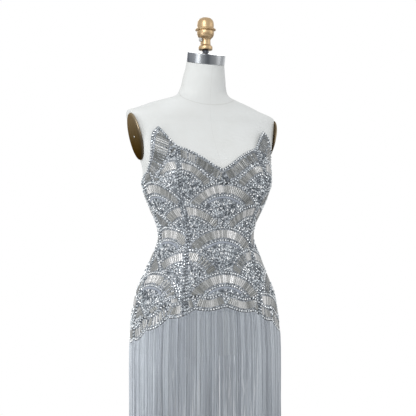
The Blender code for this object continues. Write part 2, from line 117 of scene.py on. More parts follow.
room_links.new(room_direction.outputs["Generated"], room_split.inputs[0])
room_links.new(room_split.outputs["Z"], room_height.inputs["Value"])
room_links.new(room_height.outputs["Result"], room_ramp.inputs["Fac"])
room_links.new(room_ramp.outputs["Color"], room_walls.inputs["Color"])
room_links.new(room_seen.outputs["Is Camera Ray"], room_mix.inputs["Fac"])
room_links.new(room_walls.outputs[0], room_mix.inputs[1])
room_links.new(room_white.outputs[0], room_mix.inputs[2])
room_links.new(room_mix.outputs[0], room_output.inputs["Surface"])

floor_bmesh = bmesh.new()
bmesh.ops.create_circle(floor_bmesh, cap_ends=True, segments=96, radius=FLOOR_RADIUS)
floor_mesh = bpy.data.meshes.new("floor")
floor_bmesh.to_mesh(floor_mesh)
floor_bmesh.free()
studio_floor = bpy.data.objects.new("floor", floor_mesh)
bpy.context.scene.collection.objects.link(studio_floor)
floor_paint = bpy.data.materials.new("pale_floor")
floor_paint.use_nodes = True
floor_paint.node_tree.nodes["Principled BSDF"].inputs["Base Color"].default_value = (0.82, 0.82, 0.82, 1)
floor_paint.node_tree.nodes["Principled BSDF"].inputs["Roughness"].default_value = 0.7
floor_mesh.materials.append(floor_paint)


# Canvas torso and neck
# A padded form covered in off-white canvas, sewn down the centre front, over the shoulders and
# round the base of the neck. Its sections are the gown's own, drawn in by the cloth and its ease.
ROOT = "root"                          # the one body that every piece rides on
CLOTH_WALL, CLOTH_EASE = 0.0020, 0.0015
SECTIONS = [
    # above the waist, half width, middle's y, reach forward, reach back, squareness
    (-0.300, 0.2020, -0.0080, 0.1325, 0.1445, 2.20),
    (-0.230, 0.1980, -0.0065, 0.1290, 0.1425, 2.20),
    (-0.187, 0.1920, -0.0040, 0.1260, 0.1390, 2.20),
    (-0.145, 0.1825, -0.0030, 0.1230, 0.1310, 2.20),
    (-0.104, 0.1640, -0.0030, 0.1170, 0.1170, 2.20),
    (-0.062, 0.1455, -0.0020, 0.1120, 0.1020, 2.20),
    (-0.021, 0.1272, 0.0000, 0.1100, 0.0925, 2.20),
    (0.000, 0.1250, 0.0000, 0.1100, 0.0905, 2.20),
    (0.021, 0.1282, 0.0000, 0.1100, 0.0920, 2.20),
    (0.062, 0.1475, 0.0000, 0.1120, 0.0970, 2.20),
    (0.104, 0.1650, 0.0000, 0.1120, 0.1020, 2.20),
    (0.135, 0.1705, 0.0000, 0.1100, 0.1050, 2.20),
    (0.165, 0.1720, 0.0000, 0.1040, 0.1065, 2.20),
    (0.205, 0.1830, 0.0030, 0.0810, 0.1090, 2.30),
    (0.247, 0.2040, 0.0080, 0.0530, 0.1075, 2.40),
    (0.285, 0.2136, 0.0150, 0.0395, 0.0990, 2.40),
    (0.305, 0.2180, 0.0240, 0.0370, 0.0890, 2.30),
    (0.318, 0.2050, 0.0290, 0.0352, 0.0800, 2.10),
    (0.330, 0.1716, 0.0295, 0.0342, 0.0740, 1.95),
    (0.342, 0.1406, 0.0275, 0.0345, 0.0715, 1.90),
    (0.352, 0.1067, 0.0240, 0.0355, 0.0695, 1.95),
    (0.362, 0.0763, 0.0200, 0.0370, 0.0675, 2.00),
    (0.380, 0.0652, 0.0150, 0.0395, 0.0635, 2.00),
    (0.400, 0.0613, 0.0110, 0.0425, 0.0595, 2.00),
    (0.425, 0.0560, 0.0040, 0.0460, 0.0540, 2.00),
    (0.443, 0.0528, 0.0000, 0.0505, 0.0505, 2.00),
]
CUP_REACH, CUP_ANGLE, CUP_SPREAD, CUP_HEIGHT, CUP_TALL = 0.024, 38.0, 17.0, 0.150, 0.055
ARM_FLAT_WIDTH, ARM_FLAT_FOOT, ARM_FLAT_LEAN = 0.1653, 0.160, 0.248
FORM_COLUMNS, FORM_ROWS = 160, 190
CANVAS_COLOUR = (0.640, 0.655, 0.650, 1)
CANVAS_SEAM_COLOUR = (0.42, 0.41, 0.39, 1)
CANVAS_SEAM_WIDTH, CANVAS_SEAM_SHADE = 0.0016, 0.34
NECK_TILT, NECK_TILT_FROM = 0.240, 0.360  # how steeply the neck's top rises towards the back
NECK_SEAM_FRONT = (-0.032, 1.3715)     # y and height of the neck seam's lowest place
NECK_SEAM_RISE = 0.54                  # how steeply it climbs towards the nape
NECK_SEAM_BOW = 1.8                    # how it climbs to the sides, for each square metre
SHOULDER_SEAM_X = 0.124

section_heights = [row[0] for row in SECTIONS]


def between(table, heights, height):
    """The table's row at a height, on a smooth curve through its rows."""
    height = min(max(height, heights[0]), heights[-1])
    low = min(max(bisect_right(heights, height) - 1, 0), len(table) - 2)
    before = table[max(low - 1, 0)]
    start = table[low]
    end = table[low + 1]
    after = table[min(low + 2, len(table) - 1)]
    step = end[0] - start[0]
    t = (height - start[0]) / step
    a = 2 * t ** 3 - 3 * t ** 2 + 1
    b = (t ** 3 - 2 * t ** 2 + t) * step
    c = 3 * t ** 2 - 2 * t ** 3
    d = (t ** 3 - t ** 2) * step
    return [
        a * start[i] + b * (end[i] - before[i]) / (end[0] - before[0])
        + c * end[i] + d * (after[i] - start[i]) / (after[0] - start[0])
        for i in range(1, len(start))
    ]


def from_front(angle):
    return abs((angle + 180.0) % 360.0 - 180.0)


def figure(angle, height):
    """A point of the gown's outer surface, without its wings, from the waist."""
    half, middle, front, back, square = between(SECTIONS, section_heights, height)
    side, ahead = sin(radians(angle)), cos(radians(angle))
    reach = front + middle if ahead > 0 else back - middle
    x = half * abs(side) ** (2 / square) * (1 if side >= 0 else -1)
    y = middle - reach * abs(ahead) ** (2 / square) * (1 if ahead >= 0 else -1)
    around = (from_front(angle) - CUP_ANGLE) / CUP_SPREAD
    cup = CUP_REACH * exp(-0.5 * around ** 2 - 0.5 * ((height - CUP_HEIGHT) / CUP_TALL) ** 2)
    return Vector((x + cup * side, y - cup * ahead, height))


def outward(angle, height):
    """The figure's unit normal, away from the body."""
    top = min(height + 0.002, section_heights[-1])
    bottom = max(height - 0.002, section_heights[0])
    across = figure(angle + 1, height) - figure(angle - 1, height)
    up = figure(angle, top) - figure(angle, bottom)
    return across.cross(up).normalized()


def arm_flat(height):
    """Half width of the flat that an arm plate lies on."""
    return ARM_FLAT_WIDTH + ARM_FLAT_LEAN * (height - ARM_FLAT_FOOT)


def piece_from(name, bm, finish, smooth_angle=40):
    """A named object from a bmesh, smooth but for its sharp edges."""
    mesh = bpy.data.meshes.new(name)
    bm.to_mesh(mesh)
    bm.free()
    mesh.materials.append(finish)
    mesh.shade_smooth()
    mesh.set_sharp_from_angle(angle=radians(smooth_angle))
    made = bpy.data.objects.new(name, mesh)
    bpy.context.scene.collection.objects.link(made)
    return made


def ring_faces(bm, rings):
    """Joins rings of vertices, listed from the bottom up, into a closed skin."""
    count = len(rings[0])
    for lower, upper in zip(rings, rings[1:]):
        for i in range(count):
            j = (i + 1) % count
            bm.faces.new((lower[i], lower[j], upper[j], upper[i]))
    bm.faces.new(list(reversed(rings[0])))
    bm.faces.new(rings[-1])


class Shader:
    """A material with its Principled shader and short ways to add nodes to it."""

    def __init__(self, name, colour, roughness, metallic=0.0):
        self.material = bpy.data.materials.new(name)
        self.material.use_nodes = True
        self.nodes = self.material.node_tree.nodes
        self.links = self.material.node_tree.links
        self.surface = self.nodes["Principled BSDF"]
        self.put(self.surface, "Base Color", colour)
        self.put(self.surface, "Roughness", roughness)
        self.put(self.surface, "Metallic", metallic)

    def put(self, node, socket, value):
        """Links or sets one input."""
        if hasattr(value, "is_output"):
            self.links.new(value, node.inputs[socket])
        else:
            node.inputs[socket].default_value = value

    def math(self, operation, first, second=0.0, third=0.0):
        node = self.nodes.new("ShaderNodeMath")
        node.operation = operation
        for i, value in enumerate((first, second, third)):
            self.put(node, i, value)
        return node.outputs[0]

    def place(self):
        return self.nodes.new("ShaderNodeTexCoord").outputs["Object"]

    def attribute(self, name):
        """A number that the mesh's points carry."""
        node = self.nodes.new("ShaderNodeAttribute")
        node.attribute_name = name
        return node.outputs["Fac"]

    def axes(self, vector):
        node = self.nodes.new("ShaderNodeSeparateXYZ")
        self.links.new(vector, node.inputs[0])
        return node.outputs

    def grain(self, scale, detail=2.0, stretch=(1, 1, 1), vector=None):
        """Noise on the piece's own coordinates."""
        mapping = self.nodes.new("ShaderNodeMapping")
        mapping.inputs["Scale"].default_value = stretch
        self.links.new(vector or self.place(), mapping.inputs["Vector"])
        texture = self.nodes.new("ShaderNodeTexNoise")
        texture.inputs["Scale"].default_value = scale
        texture.inputs["Detail"].default_value = detail
        self.links.new(mapping.outputs[0], texture.inputs["Vector"])
        return texture.outputs["Fac"]

    def ramp(self, factor, stops):
        """Colours along a factor, as (position, colour)."""
        node = self.nodes.new("ShaderNodeValToRGB")
        elements = node.color_ramp.elements
        elements[0].position, elements[0].color = stops[0]
        elements[1].position, elements[1].color = stops[-1]
        for position, colour in stops[1:-1]:
            elements.new(position).color = colour
        self.links.new(factor, node.inputs["Fac"])
        return node.outputs["Color"]

    def colour(self, factor, stops):
        """Colours the surface along a factor."""
        self.put(self.surface, "Base Color", self.ramp(factor, stops))

    def rough(self, factor, spread, least):
        """Makes the surface rougher along a factor."""
        self.put(self.surface, "Roughness", self.math("MULTIPLY_ADD", factor, spread, least))

    def blend(self, factor, first, second):
        node = self.nodes.new("ShaderNodeMix")
        node.data_type = "RGBA"
        self.put(node, 0, factor)
        self.put(node, 6, first)
        self.put(node, 7, second)
        return node.outputs[2]

    def bump(self, height, strength, distance):
        node = self.nodes.new("ShaderNodeBump")
        node.inputs["Strength"].default_value = strength
        node.inputs["Distance"].default_value = distance
        self.links.new(height, node.inputs["Height"])
        self.links.new(node.outputs[0], self.surface.inputs["Normal"])


form_bmesh = bmesh.new()
form_rings = []
for row in range(FORM_ROWS + 1):
    height = section_heights[0] + (section_heights[-1] - section_heights[0]) * row / FORM_ROWS
    tilted = (height - NECK_TILT_FROM) / (section_heights[-1] - NECK_TILT_FROM)
    tilt = NECK_TILT * max(tilted, 0.0)
    ring = []
    for column in range(FORM_COLUMNS):
        angle = 360.0 * column / FORM_COLUMNS
        spot = figure(angle, height) - outward(angle, height) * (CLOTH_WALL + CLOTH_EASE)
        if height > ARM_FLAT_FOOT:
            limit = arm_flat(spot.z)
            spot.x = min(max(spot.x, -limit), limit)
        ring.append(form_bmesh.verts.new((spot.x, spot.y, spot.z + tilt * spot.y + WAIST_Z)))
    form_rings.append(ring)
for end_ring, height, tilt in (
    (form_rings[0], section_heights[0], 0.0), (form_rings[-1], section_heights[-1], NECK_TILT),
):
    for vert in end_ring:
        vert.co.z = WAIST_Z + height + tilt * vert.co.y
ring_faces(form_bmesh, form_rings)

canvas = Shader("canvas", CANVAS_COLOUR, 0.88)
canvas_axes = canvas.axes(canvas.place())
seam_wander = canvas.math("MULTIPLY", canvas.grain(9.0), 0.0012)
beside_centre = canvas.math("ABSOLUTE", canvas.math("ADD", canvas_axes["X"], seam_wander))
beside_shoulder = canvas.math(
    "ABSOLUTE",
    canvas.math("SUBTRACT", canvas.math("ABSOLUTE", canvas_axes["X"]), SHOULDER_SEAM_X),
)
neck_line = canvas.math(
    "MULTIPLY_ADD", canvas_axes["Y"], NECK_SEAM_RISE,
    NECK_SEAM_FRONT[1] - NECK_SEAM_FRONT[0] * NECK_SEAM_RISE,
)
aside_squared = canvas.math("POWER", canvas.math("ABSOLUTE", canvas_axes["X"]), 2.0)
neck_line = canvas.math("MULTIPLY_ADD", aside_squared, NECK_SEAM_BOW, neck_line)
beside_neck = canvas.math("ABSOLUTE", canvas.math("SUBTRACT", canvas_axes["Z"], neck_line))
nearest_seam = canvas.math("MINIMUM", beside_centre, canvas.math("ADD", beside_shoulder, 0.0007))
nearest_seam = canvas.math("MINIMUM", canvas.math("ADD", nearest_seam, 0.0006), beside_neck)
on_seam = canvas.math("SUBTRACT", 1.0, canvas.math("DIVIDE", nearest_seam, CANVAS_SEAM_WIDTH))
on_seam = canvas.math("MAXIMUM", on_seam, 0.0)
canvas_shade = canvas.ramp(canvas.grain(14.0, 4.0), [
    (0.30, (0.620, 0.632, 0.622, 1)), (0.70, (0.660, 0.678, 0.676, 1)),
])
seam_shade = canvas.math("MULTIPLY", on_seam, CANVAS_SEAM_SHADE)
canvas_colour = canvas.blend(seam_shade, canvas_shade, CANVAS_SEAM_COLOUR)
canvas.put(canvas.surface, "Base Color", canvas_colour)
canvas_weave = canvas.math(
    "ADD", canvas.grain(900.0, 1.0, (1, 1, 0.25)), canvas.grain(900.0, 1.0, (0.25, 0.25, 1)),
)
canvas_relief = canvas.math("MULTIPLY_ADD", on_seam, -1.6, canvas_weave)
canvas.bump(canvas_relief, 0.35, 0.0004)

form = piece_from("form_canvas", form_bmesh, canvas.material, 60)
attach(form, ROOT)
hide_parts("form_torso")


# Arm plates
# Pressed oval plates of dark bronze, one on each armhole's flat, each held by one small rivet.
PLATE_HEIGHT, PLATE_WIDTH, PLATE_THICK = 0.121, 0.082, 0.005
PLATE_Y, PLATE_Z = 0.012, 0.247
PLATE_SIDES = 96
PLATE_PROFILE = (
    # share of the width, share of the thickness
    (1.0, 0.06), (1.0, 0.55), (0.985, 0.80), (0.955, 0.93), (0.90, 1.0), (0.45, 0.97), (0.12, 0.95),
)
BRONZE_DARKEST_FOOT, BRONZE_LIGHTENING_RISE = 0.184, 7.5  # where the bronze is darkest, and how fast it lightens upwards
RIVET_RADIUS, RIVET_DOME = 0.0024, 0.6

bronze = Shader("dark_bronze", (0.16, 0.105, 0.05, 1), 0.30, 1.0)
bronze.put(bronze.surface, "Specular Tint", (0.50, 0.40, 0.28, 1))
bronze_streaks = bronze.grain(60.0, 3.0, (1.0, 6.0, 0.6))
# The bronze is coloured darker towards the bottom of the plate and lighter upwards, with streaks.
bronze_height = bronze.math(
    "MULTIPLY_ADD", bronze.axes(bronze.place())["Z"], BRONZE_LIGHTENING_RISE, -BRONZE_LIGHTENING_RISE * (WAIST_Z + BRONZE_DARKEST_FOOT),
)
bronze_darkening_by_height = bronze.math("MULTIPLY_ADD", bronze_streaks, 0.35, bronze_height)
bronze.colour(bronze_darkening_by_height, [
    (0.12, (0.034, 0.026, 0.018, 1)), (0.50, (0.130, 0.100, 0.065, 1)), (0.95, (0.320, 0.260, 0.180, 1)),
])
bronze.bump(bronze_streaks, 0.15, 0.0006)
rivet_steel = Shader("rivet_steel", (0.62, 0.62, 0.60, 1), 0.25, 1.0)
rivet_steel.bump(rivet_steel.grain(500.0), 0.1, 0.0003)


def oval_plate(name, side):
    """One plate and its rivet, on the side of the body that the sign says."""
    lean = atan2(ARM_FLAT_LEAN, 1)
    normal = Vector((side * cos(lean), 0, -sin(lean)))
    tall = Vector((side * sin(lean), 0, cos(lean)))
    wide = Vector((0, 1, 0))
    centre = Vector((side * arm_flat(PLATE_Z), PLATE_Y, WAIST_Z + PLATE_Z))
    plate_bmesh = bmesh.new()
    rings = []
    for share, out in PLATE_PROFILE:
        ring = []
        for i in range(PLATE_SIDES):
            turn = 2 * pi * i / PLATE_SIDES
            across = wide * (PLATE_WIDTH / 2 * share * cos(turn))
            upward = tall * (PLATE_HEIGHT / 2 * share * sin(turn))
            ring.append(plate_bmesh.verts.new(centre + normal * (PLATE_THICK * out) + (across + upward)))
        rings.append(ring)
    ring_faces(plate_bmesh, rings)
    bmesh.ops.recalc_face_normals(plate_bmesh, faces=plate_bmesh.faces)
    plate = piece_from(name, plate_bmesh, bronze.material, 30)
    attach(plate, ROOT)
    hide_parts(name)

    rivet_bmesh = bmesh.new()
    bmesh.ops.create_uvsphere(rivet_bmesh, u_segments=20, v_segments=12, radius=RIVET_RADIUS)
    for vert in rivet_bmesh.verts:
        proud = PLATE_THICK + vert.co.z * RIVET_DOME
        vert.co = centre + normal * proud + wide * vert.co.x + tall * vert.co.y
    bmesh.ops.recalc_face_normals(rivet_bmesh, faces=rivet_bmesh.faces)
    rivet = piece_from(name + "_rivet", rivet_bmesh, rivet_steel.material)
    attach(rivet, ROOT)


oval_plate("arm_plate_left", 1)
oval_plate("arm_plate_right", -1)


# Neck cap and finial
# A flat cap of brushed steel, square to the neck's forward lean, its dark and light bands painted
# reflections.
# On a short stem out of it stands a turned finial in satin brass, with a knurled thumbscrew through its
# waist.
CAP_TOP, CAP_BOTTOM, CAP_RADIUS = 0.4690, 0.4433, 0.0498
CAP_EDGE = 0.0010
STEM_RADIUS, STEM_HEIGHT, STEM_CHAMFER = 0.0083, 0.0076, 0.0008
TURNED_GAP = 0.0003
THUMB_HEIGHT = 0.503
THUMB_DIRECTION = (-0.95, -0.31, 0.0)
THUMB_TEETH = 24


def turned(name, profile, finish, sides, base=0.0, smooth_angle=40):
    """A turned piece on the pole's axis. The profile is (radius, height) from its bottom up."""
    turned_bmesh = bmesh.new()
    rings = []
    for radius, height in profile:
        ring = []
        for i in range(sides):
            turn = 2 * pi * i / sides
            ring.append(turned_bmesh.verts.new((radius * cos(turn), radius * sin(turn), base + height)))
        rings.append(ring)
    ring_faces(turned_bmesh, rings)
    return piece_from(name, turned_bmesh, finish, smooth_angle)


def rounded(points, steps=4):
    """A turned profile with its corners eased by a curve through the middles of its runs."""
    eased = [points[0]]
    for before, corner, after in zip(points, points[1:], points[2:]):
        start = [(a + b) / 2 for a, b in zip(before, corner)]
        end = [(a + b) / 2 for a, b in zip(corner, after)]
        for i in range(steps + 1):
            t = i / steps
            eased.append(tuple(
                (1 - t) ** 2 * a + 2 * t * (1 - t) * b + t ** 2 * c for a, b, c in zip(start, corner, end)
            ))
    return eased + [points[-1]]


brushed_steel_painted_reflections = Shader("brushed_steel_painted_reflections", (0.40, 0.42, 0.45, 1), 0.24, 1.0)
# Painted reflections: dark and light bands round the cap's axis.
painted_reflection_bands = brushed_steel_painted_reflections.grain(20.0, 1.0, (1, 1, 0.02))
brushed_steel_painted_reflections.colour(painted_reflection_bands, [
    (0.34, (0.06, 0.07, 0.09, 1)), (0.46, (0.32, 0.34, 0.37, 1)), (0.58, (0.46, 0.48, 0.50, 1)),
    (0.68, (0.80, 0.82, 0.84, 1)),
])
brushed_steel_painted_reflections.rough(brushed_steel_painted_reflections.grain(60.0, 1.0, (1, 1, 0.02)), 0.06, 0.25)
dark_steel = Shader("dark_steel", (0.075, 0.08, 0.095, 1), 0.40, 0.6)
dark_steel.bump(dark_steel.grain(260.0), 0.1, 0.0003)
satin_brass = Shader("satin_brass", (0.50, 0.33, 0.15, 1), 0.38, 1.0)
brass_wear = satin_brass.grain(40.0, 2.0)
satin_brass.colour(brass_wear, [
    (0.30, (0.50, 0.350, 0.200, 1)), (0.70, (0.58, 0.430, 0.255, 1)),
])
satin_brass.rough(brass_wear, 0.10, 0.33)

cap_lean = atan2(NECK_TILT, 1)
cap_depth = (CAP_TOP - CAP_BOTTOM) * cos(cap_lean)
cap_profile = rounded([
    (CAP_RADIUS - 0.0030, 0.0), (CAP_RADIUS, 0.0), (CAP_RADIUS, CAP_EDGE * 2),
    (CAP_RADIUS, cap_depth - CAP_EDGE * 2), (CAP_RADIUS, cap_depth), (CAP_RADIUS - CAP_EDGE * 2, cap_depth),
    (STEM_RADIUS + 0.0040, cap_depth),
])
cap = turned("cap", cap_profile, brushed_steel_painted_reflections.material, 128, 0.0, 60)
cap.data.transform(Matrix.Translation((0, 0, WAIST_Z + CAP_BOTTOM)) @ Matrix.Rotation(cap_lean, 4, "X"))
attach(cap, ROOT)
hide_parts("neck_cap")

stem_foot = CAP_TOP + TURNED_GAP
stem_top = stem_foot + STEM_HEIGHT
stem_profile = [
    (STEM_RADIUS - STEM_CHAMFER, stem_foot), (STEM_RADIUS, stem_foot + STEM_CHAMFER),
    (STEM_RADIUS, stem_top - STEM_CHAMFER), (STEM_RADIUS - STEM_CHAMFER, stem_top),
]
stem = turned("stem", stem_profile, dark_steel.material, 64, WAIST_Z)
for vert in stem.data.vertices:
    if vert.co.z < WAIST_Z + stem_foot + STEM_HEIGHT / 2:
        vert.co.z += NECK_TILT * vert.co.y
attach(stem, ROOT)
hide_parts("finial_stem")

finial_foot = stem_top + TURNED_GAP
finial_profile = rounded([
    (0.0164, finial_foot), (0.0178, 0.4776), (0.0183, 0.4800), (0.0183, 0.4850), (0.0176, 0.4872),
    (0.0140, 0.4896), (0.0132, 0.4925), (0.0130, 0.4990), (0.0130, 0.5045), (0.0148, 0.5072),
    (0.0200, 0.5118), (0.0222, 0.5180), (0.0222, 0.5262), (0.0214, 0.5274), (0.0262, 0.5282),
    (0.0270, 0.5292), (0.0270, 0.5306), (0.0256, 0.5322), (0.0216, 0.5332), (0.0218, 0.5400),
    (0.0216, 0.5470), (0.0196, 0.5545), (0.0120, 0.5612), (0.0012, 0.5622),
])
brass_finial = turned("brass_finial", finial_profile, satin_brass.material, 96, WAIST_Z, 50)
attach(brass_finial, ROOT)
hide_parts("finial")

screw_bmesh = bmesh.new()
screw_turn = Vector((0, 0, 1)).rotation_difference(Vector(THUMB_DIRECTION)).to_matrix()
screw_rings = []
for radius, reach, tooth in (
    (0.0017, 0.0133, 0.0), (0.0017, 0.0147, 0.0), (0.0046, 0.0149, 0.0), (0.0053, 0.0154, 0.0003),
    (0.0053, 0.0186, 0.0003), (0.0048, 0.0193, 0.0), (0.0032, 0.0198, 0.0), (0.0008, 0.0200, 0.0),
):
    ring = []
    for i in range(2 * THUMB_TEETH):
        turn = pi * i / THUMB_TEETH
        knurled = radius + tooth * (1 if i % 2 else -1)
        spot = screw_turn @ Vector((knurled * cos(turn), knurled * sin(turn), reach))
        ring.append(screw_bmesh.verts.new((spot.x, spot.y, spot.z + WAIST_Z + THUMB_HEIGHT)))
    screw_rings.append(ring)
ring_faces(screw_bmesh, screw_rings)
knurled_screw = piece_from("knurled_screw", screw_bmesh, rivet_steel.material, 35)
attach(knurled_screw, ROOT)
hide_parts("thumbscrew")


# Pole and base
# A plain tube under the torso, standing in a heavy round plate. Both lie outside the photograph, so
# they are as such a stand has them: satin grey, with a brushed top.
POLE_RADIUS, POLE_CHAMFER = 0.016, 0.0006
BASE_RADIUS, BASE_THICK = 0.180, 0.012
BASE_FOOT, BASE_CORNER = 0.0015, 0.004  # chamfer round the foot, radius round the top
POLE_TOP = WAIST_Z + section_heights[0] - TURNED_GAP

stand_metal = Shader("stand_metal", (0.42, 0.42, 0.43, 1), 0.38, 0.9)
stand_brush = stand_metal.grain(45.0, 3.0, (1, 1, 10))
stand_metal.rough(stand_brush, 0.22, 0.28)
stand_metal.bump(stand_brush, 0.06, 0.0004)

base_profile = [(BASE_RADIUS - BASE_FOOT, 0.0), (BASE_RADIUS, BASE_FOOT)]
for turn in (pi / 2 * i / 6 for i in range(7)):
    inwards, downwards = BASE_CORNER * (1 - cos(turn)), BASE_CORNER * (1 - sin(turn))
    base_profile.append((BASE_RADIUS - inwards, BASE_THICK - downwards))
base_profile += [(0.060, BASE_THICK), (0.030, BASE_THICK)]
plate_base = turned("plate_base", base_profile, stand_metal.material, 160)
pole_foot = BASE_THICK + TURNED_GAP
tube_pole = turned("tube_pole", [
    (POLE_RADIUS - POLE_CHAMFER, pole_foot), (POLE_RADIUS, pole_foot + POLE_CHAMFER), (POLE_RADIUS, 0.40),
    (POLE_RADIUS, POLE_TOP - POLE_CHAMFER), (POLE_RADIUS - POLE_CHAMFER, POLE_TOP),
], stand_metal.material, 72)
for stand_piece, node in ((plate_base, "stand_base"), (tube_pole, "stand_pole")):
    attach(stand_piece, ROOT)
    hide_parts(node)


# Bodice cloth
# Seven panels of silver-grey net, seamed at the princess lines, the sides and the back, cut to a V at
# the front with a pointed wing on each side, and closed at the centre back. The beadwork is sewn on it.
SEAM_GAP = 0.0003
CENTRE_BACK = 3                        # the seam that stays at 180 degrees
PANEL_COLUMNS, PANEL_ROWS = 30, 56
NET_DEPTH = 0.0004                     # the net lies this far under the solid's surface
DEGREE_STEP, HEIGHT_STEP = 4.0, 0.010  # steps of the table that measures the figure round
NECKLINE = [
    # degrees from the front, above the waist
    (0.0, 0.163), (5.0, 0.1735), (11.5, 0.190), (17.0, 0.203), (23.0, 0.213), (30.0, 0.221),
    (32.5, 0.236), (35.5, 0.253), (39.5, 0.268), (46.0, 0.255), (53.0, 0.232), (67.5, 0.190),
    (81.5, 0.159), (96.0, 0.143), (106.0, 0.136), (180.0, 0.136),
]
WING_STAND, WING_ANGLE, WING_SPREAD = 0.007, 40.0, 13.0
WING_FOOT, WING_TIP = 0.195, 0.266
SEAMS = [
    # above the waist, front princess seam, side seam, back princess seam
    (-0.300, 29.0, 90.0, 146.0),
    (-0.180, 30.0, 90.0, 144.0),
    (0.000, 41.0, 90.0, 137.0),
    (0.120, 37.0, 90.0, 139.0),
    (0.165, 35.0, 90.0, 140.0),
    (0.221, 30.0, 90.0, 140.0),
    (0.270, 30.0, 90.0, 140.0),
]
FIRST_HIGH = 0.16                      # a line's top, before it has found the neckline
HEM_SIDE, HEM_RISE, HEM_POWER = -0.272, 0.0875, 1.43
HEM_TURN = -6.0                        # the gown hangs turned on the hips by this many degrees
SCALLOPS, SCALLOP_DEPTH = 16, 0.009
PANELS = (
    # node, left seam, right seam (0 front princess, 1 side, 2 back princess, 3 centre back), side
    ("bodice_front", 0, 0, 0),
    ("bodice_side_front_left", 0, 1, 1),
    ("bodice_side_front_right", 1, 0, -1),
    ("bodice_side_back_left", 1, 2, 1),
    ("bodice_side_back_right", 2, 1, -1),
    ("bodice_back_left", 2, 3, 1),
    ("bodice_back_right", 3, 2, -1),
)
PANEL_CUT = {
    # widest place, length and area of the flat piece
    "bodice_front": (0.250, 0.425, 0.083),
    "bodice_side_front": (0.190, 0.500, 0.058),
    "bodice_side_back": (0.165, 0.430, 0.043),
    "bodice_back": (0.125, 0.345, 0.037),
}

seam_heights = [row[0] for row in SEAMS]


def seam_angle(index, height):
    """Degrees from the front to a seam."""
    if index == CENTRE_BACK:
        return 180.0
    return between(SEAMS, seam_heights, height)[index]


def neckline(angle):
    """The neckline's height above the waist."""
    away = from_front(angle)
    for (angle_0, height_0), (angle_1, height_1) in zip(NECKLINE, NECKLINE[1:]):
        if away <= angle_1:
            return height_0 + (height_1 - height_0) * (away - angle_0) / (angle_1 - angle_0)
    return NECKLINE[-1][1]


def hem(angle):
    """The scalloped hem's height above the waist."""
    high = HEM_RISE * abs(cos(radians(angle - HEM_TURN))) ** HEM_POWER
    return HEM_SIDE + high + SCALLOP_DEPTH * (0.5 - abs(sin(radians(angle * SCALLOPS / 2))))


def cloth_point(angle, height, out):
    """A place on the gown, out from its surface, with the wings standing off the chest."""
    around = (from_front(angle) - WING_ANGLE) / WING_SPREAD
    rise = min(max((height - WING_FOOT) / (WING_TIP - WING_FOOT), 0.0), 1.0)
    stand = WING_STAND * rise * rise * (3 - 2 * rise) * exp(-0.5 * around ** 2)
    point = figure(angle, height) + outward(angle, height) * (out + stand)
    return Vector((point.x, point.y, point.z + WAIST_Z))


@lru_cache(maxsize=None)
def degree_at_step(column, row):
    angle, height = column * DEGREE_STEP, row * HEIGHT_STEP
    return (figure(angle + 3, height) - figure(angle - 3, height)).length / 6


def degree_length(angle, height):
    """How many metres one degree is worth at a place on the figure."""
    column, row = floor(angle / DEGREE_STEP), floor(height / HEIGHT_STEP)
    across, up = angle / DEGREE_STEP - column, height / HEIGHT_STEP - row
    low = degree_at_step(column, row) * (1 - across) + degree_at_step(column + 1, row) * across
    high = degree_at_step(column, row + 1) * (1 - across) + degree_at_step(column + 1, row + 1) * across
    return low * (1 - up) + high * up


def panel_sides(left, right, side):
    """The two seams of a panel as functions of the height, drawn in by half the seam gap."""
    def edge(index, direction):
        sign = direction if side == 0 else side

        def seam(height):
            angle = sign * seam_angle(index, height)
            return angle - direction * SEAM_GAP / 2 / degree_length(angle, height)
        return seam
    return edge(left, -1), edge(right, 1)


net = Shader("silver_net", (0.30, 0.31, 0.36, 1), 0.42, 0.25)
net_sequins = net.nodes.new("ShaderNodeTexVoronoi")
net_sequins.inputs["Scale"].default_value = 430.0
net.links.new(net.place(), net_sequins.inputs["Vector"])
net_tone = net.axes(net_sequins.outputs["Color"])["X"]
net.colour(net_tone, [
    (0.0, (0.070, 0.078, 0.088, 1)), (0.45, (0.165, 0.180, 0.200, 1)), (0.80, (0.31, 0.335, 0.37, 1)),
    (1.0, (0.56, 0.60, 0.64, 1)),
])
net.bump(net_sequins.outputs["Distance"], 0.6, 0.0012)

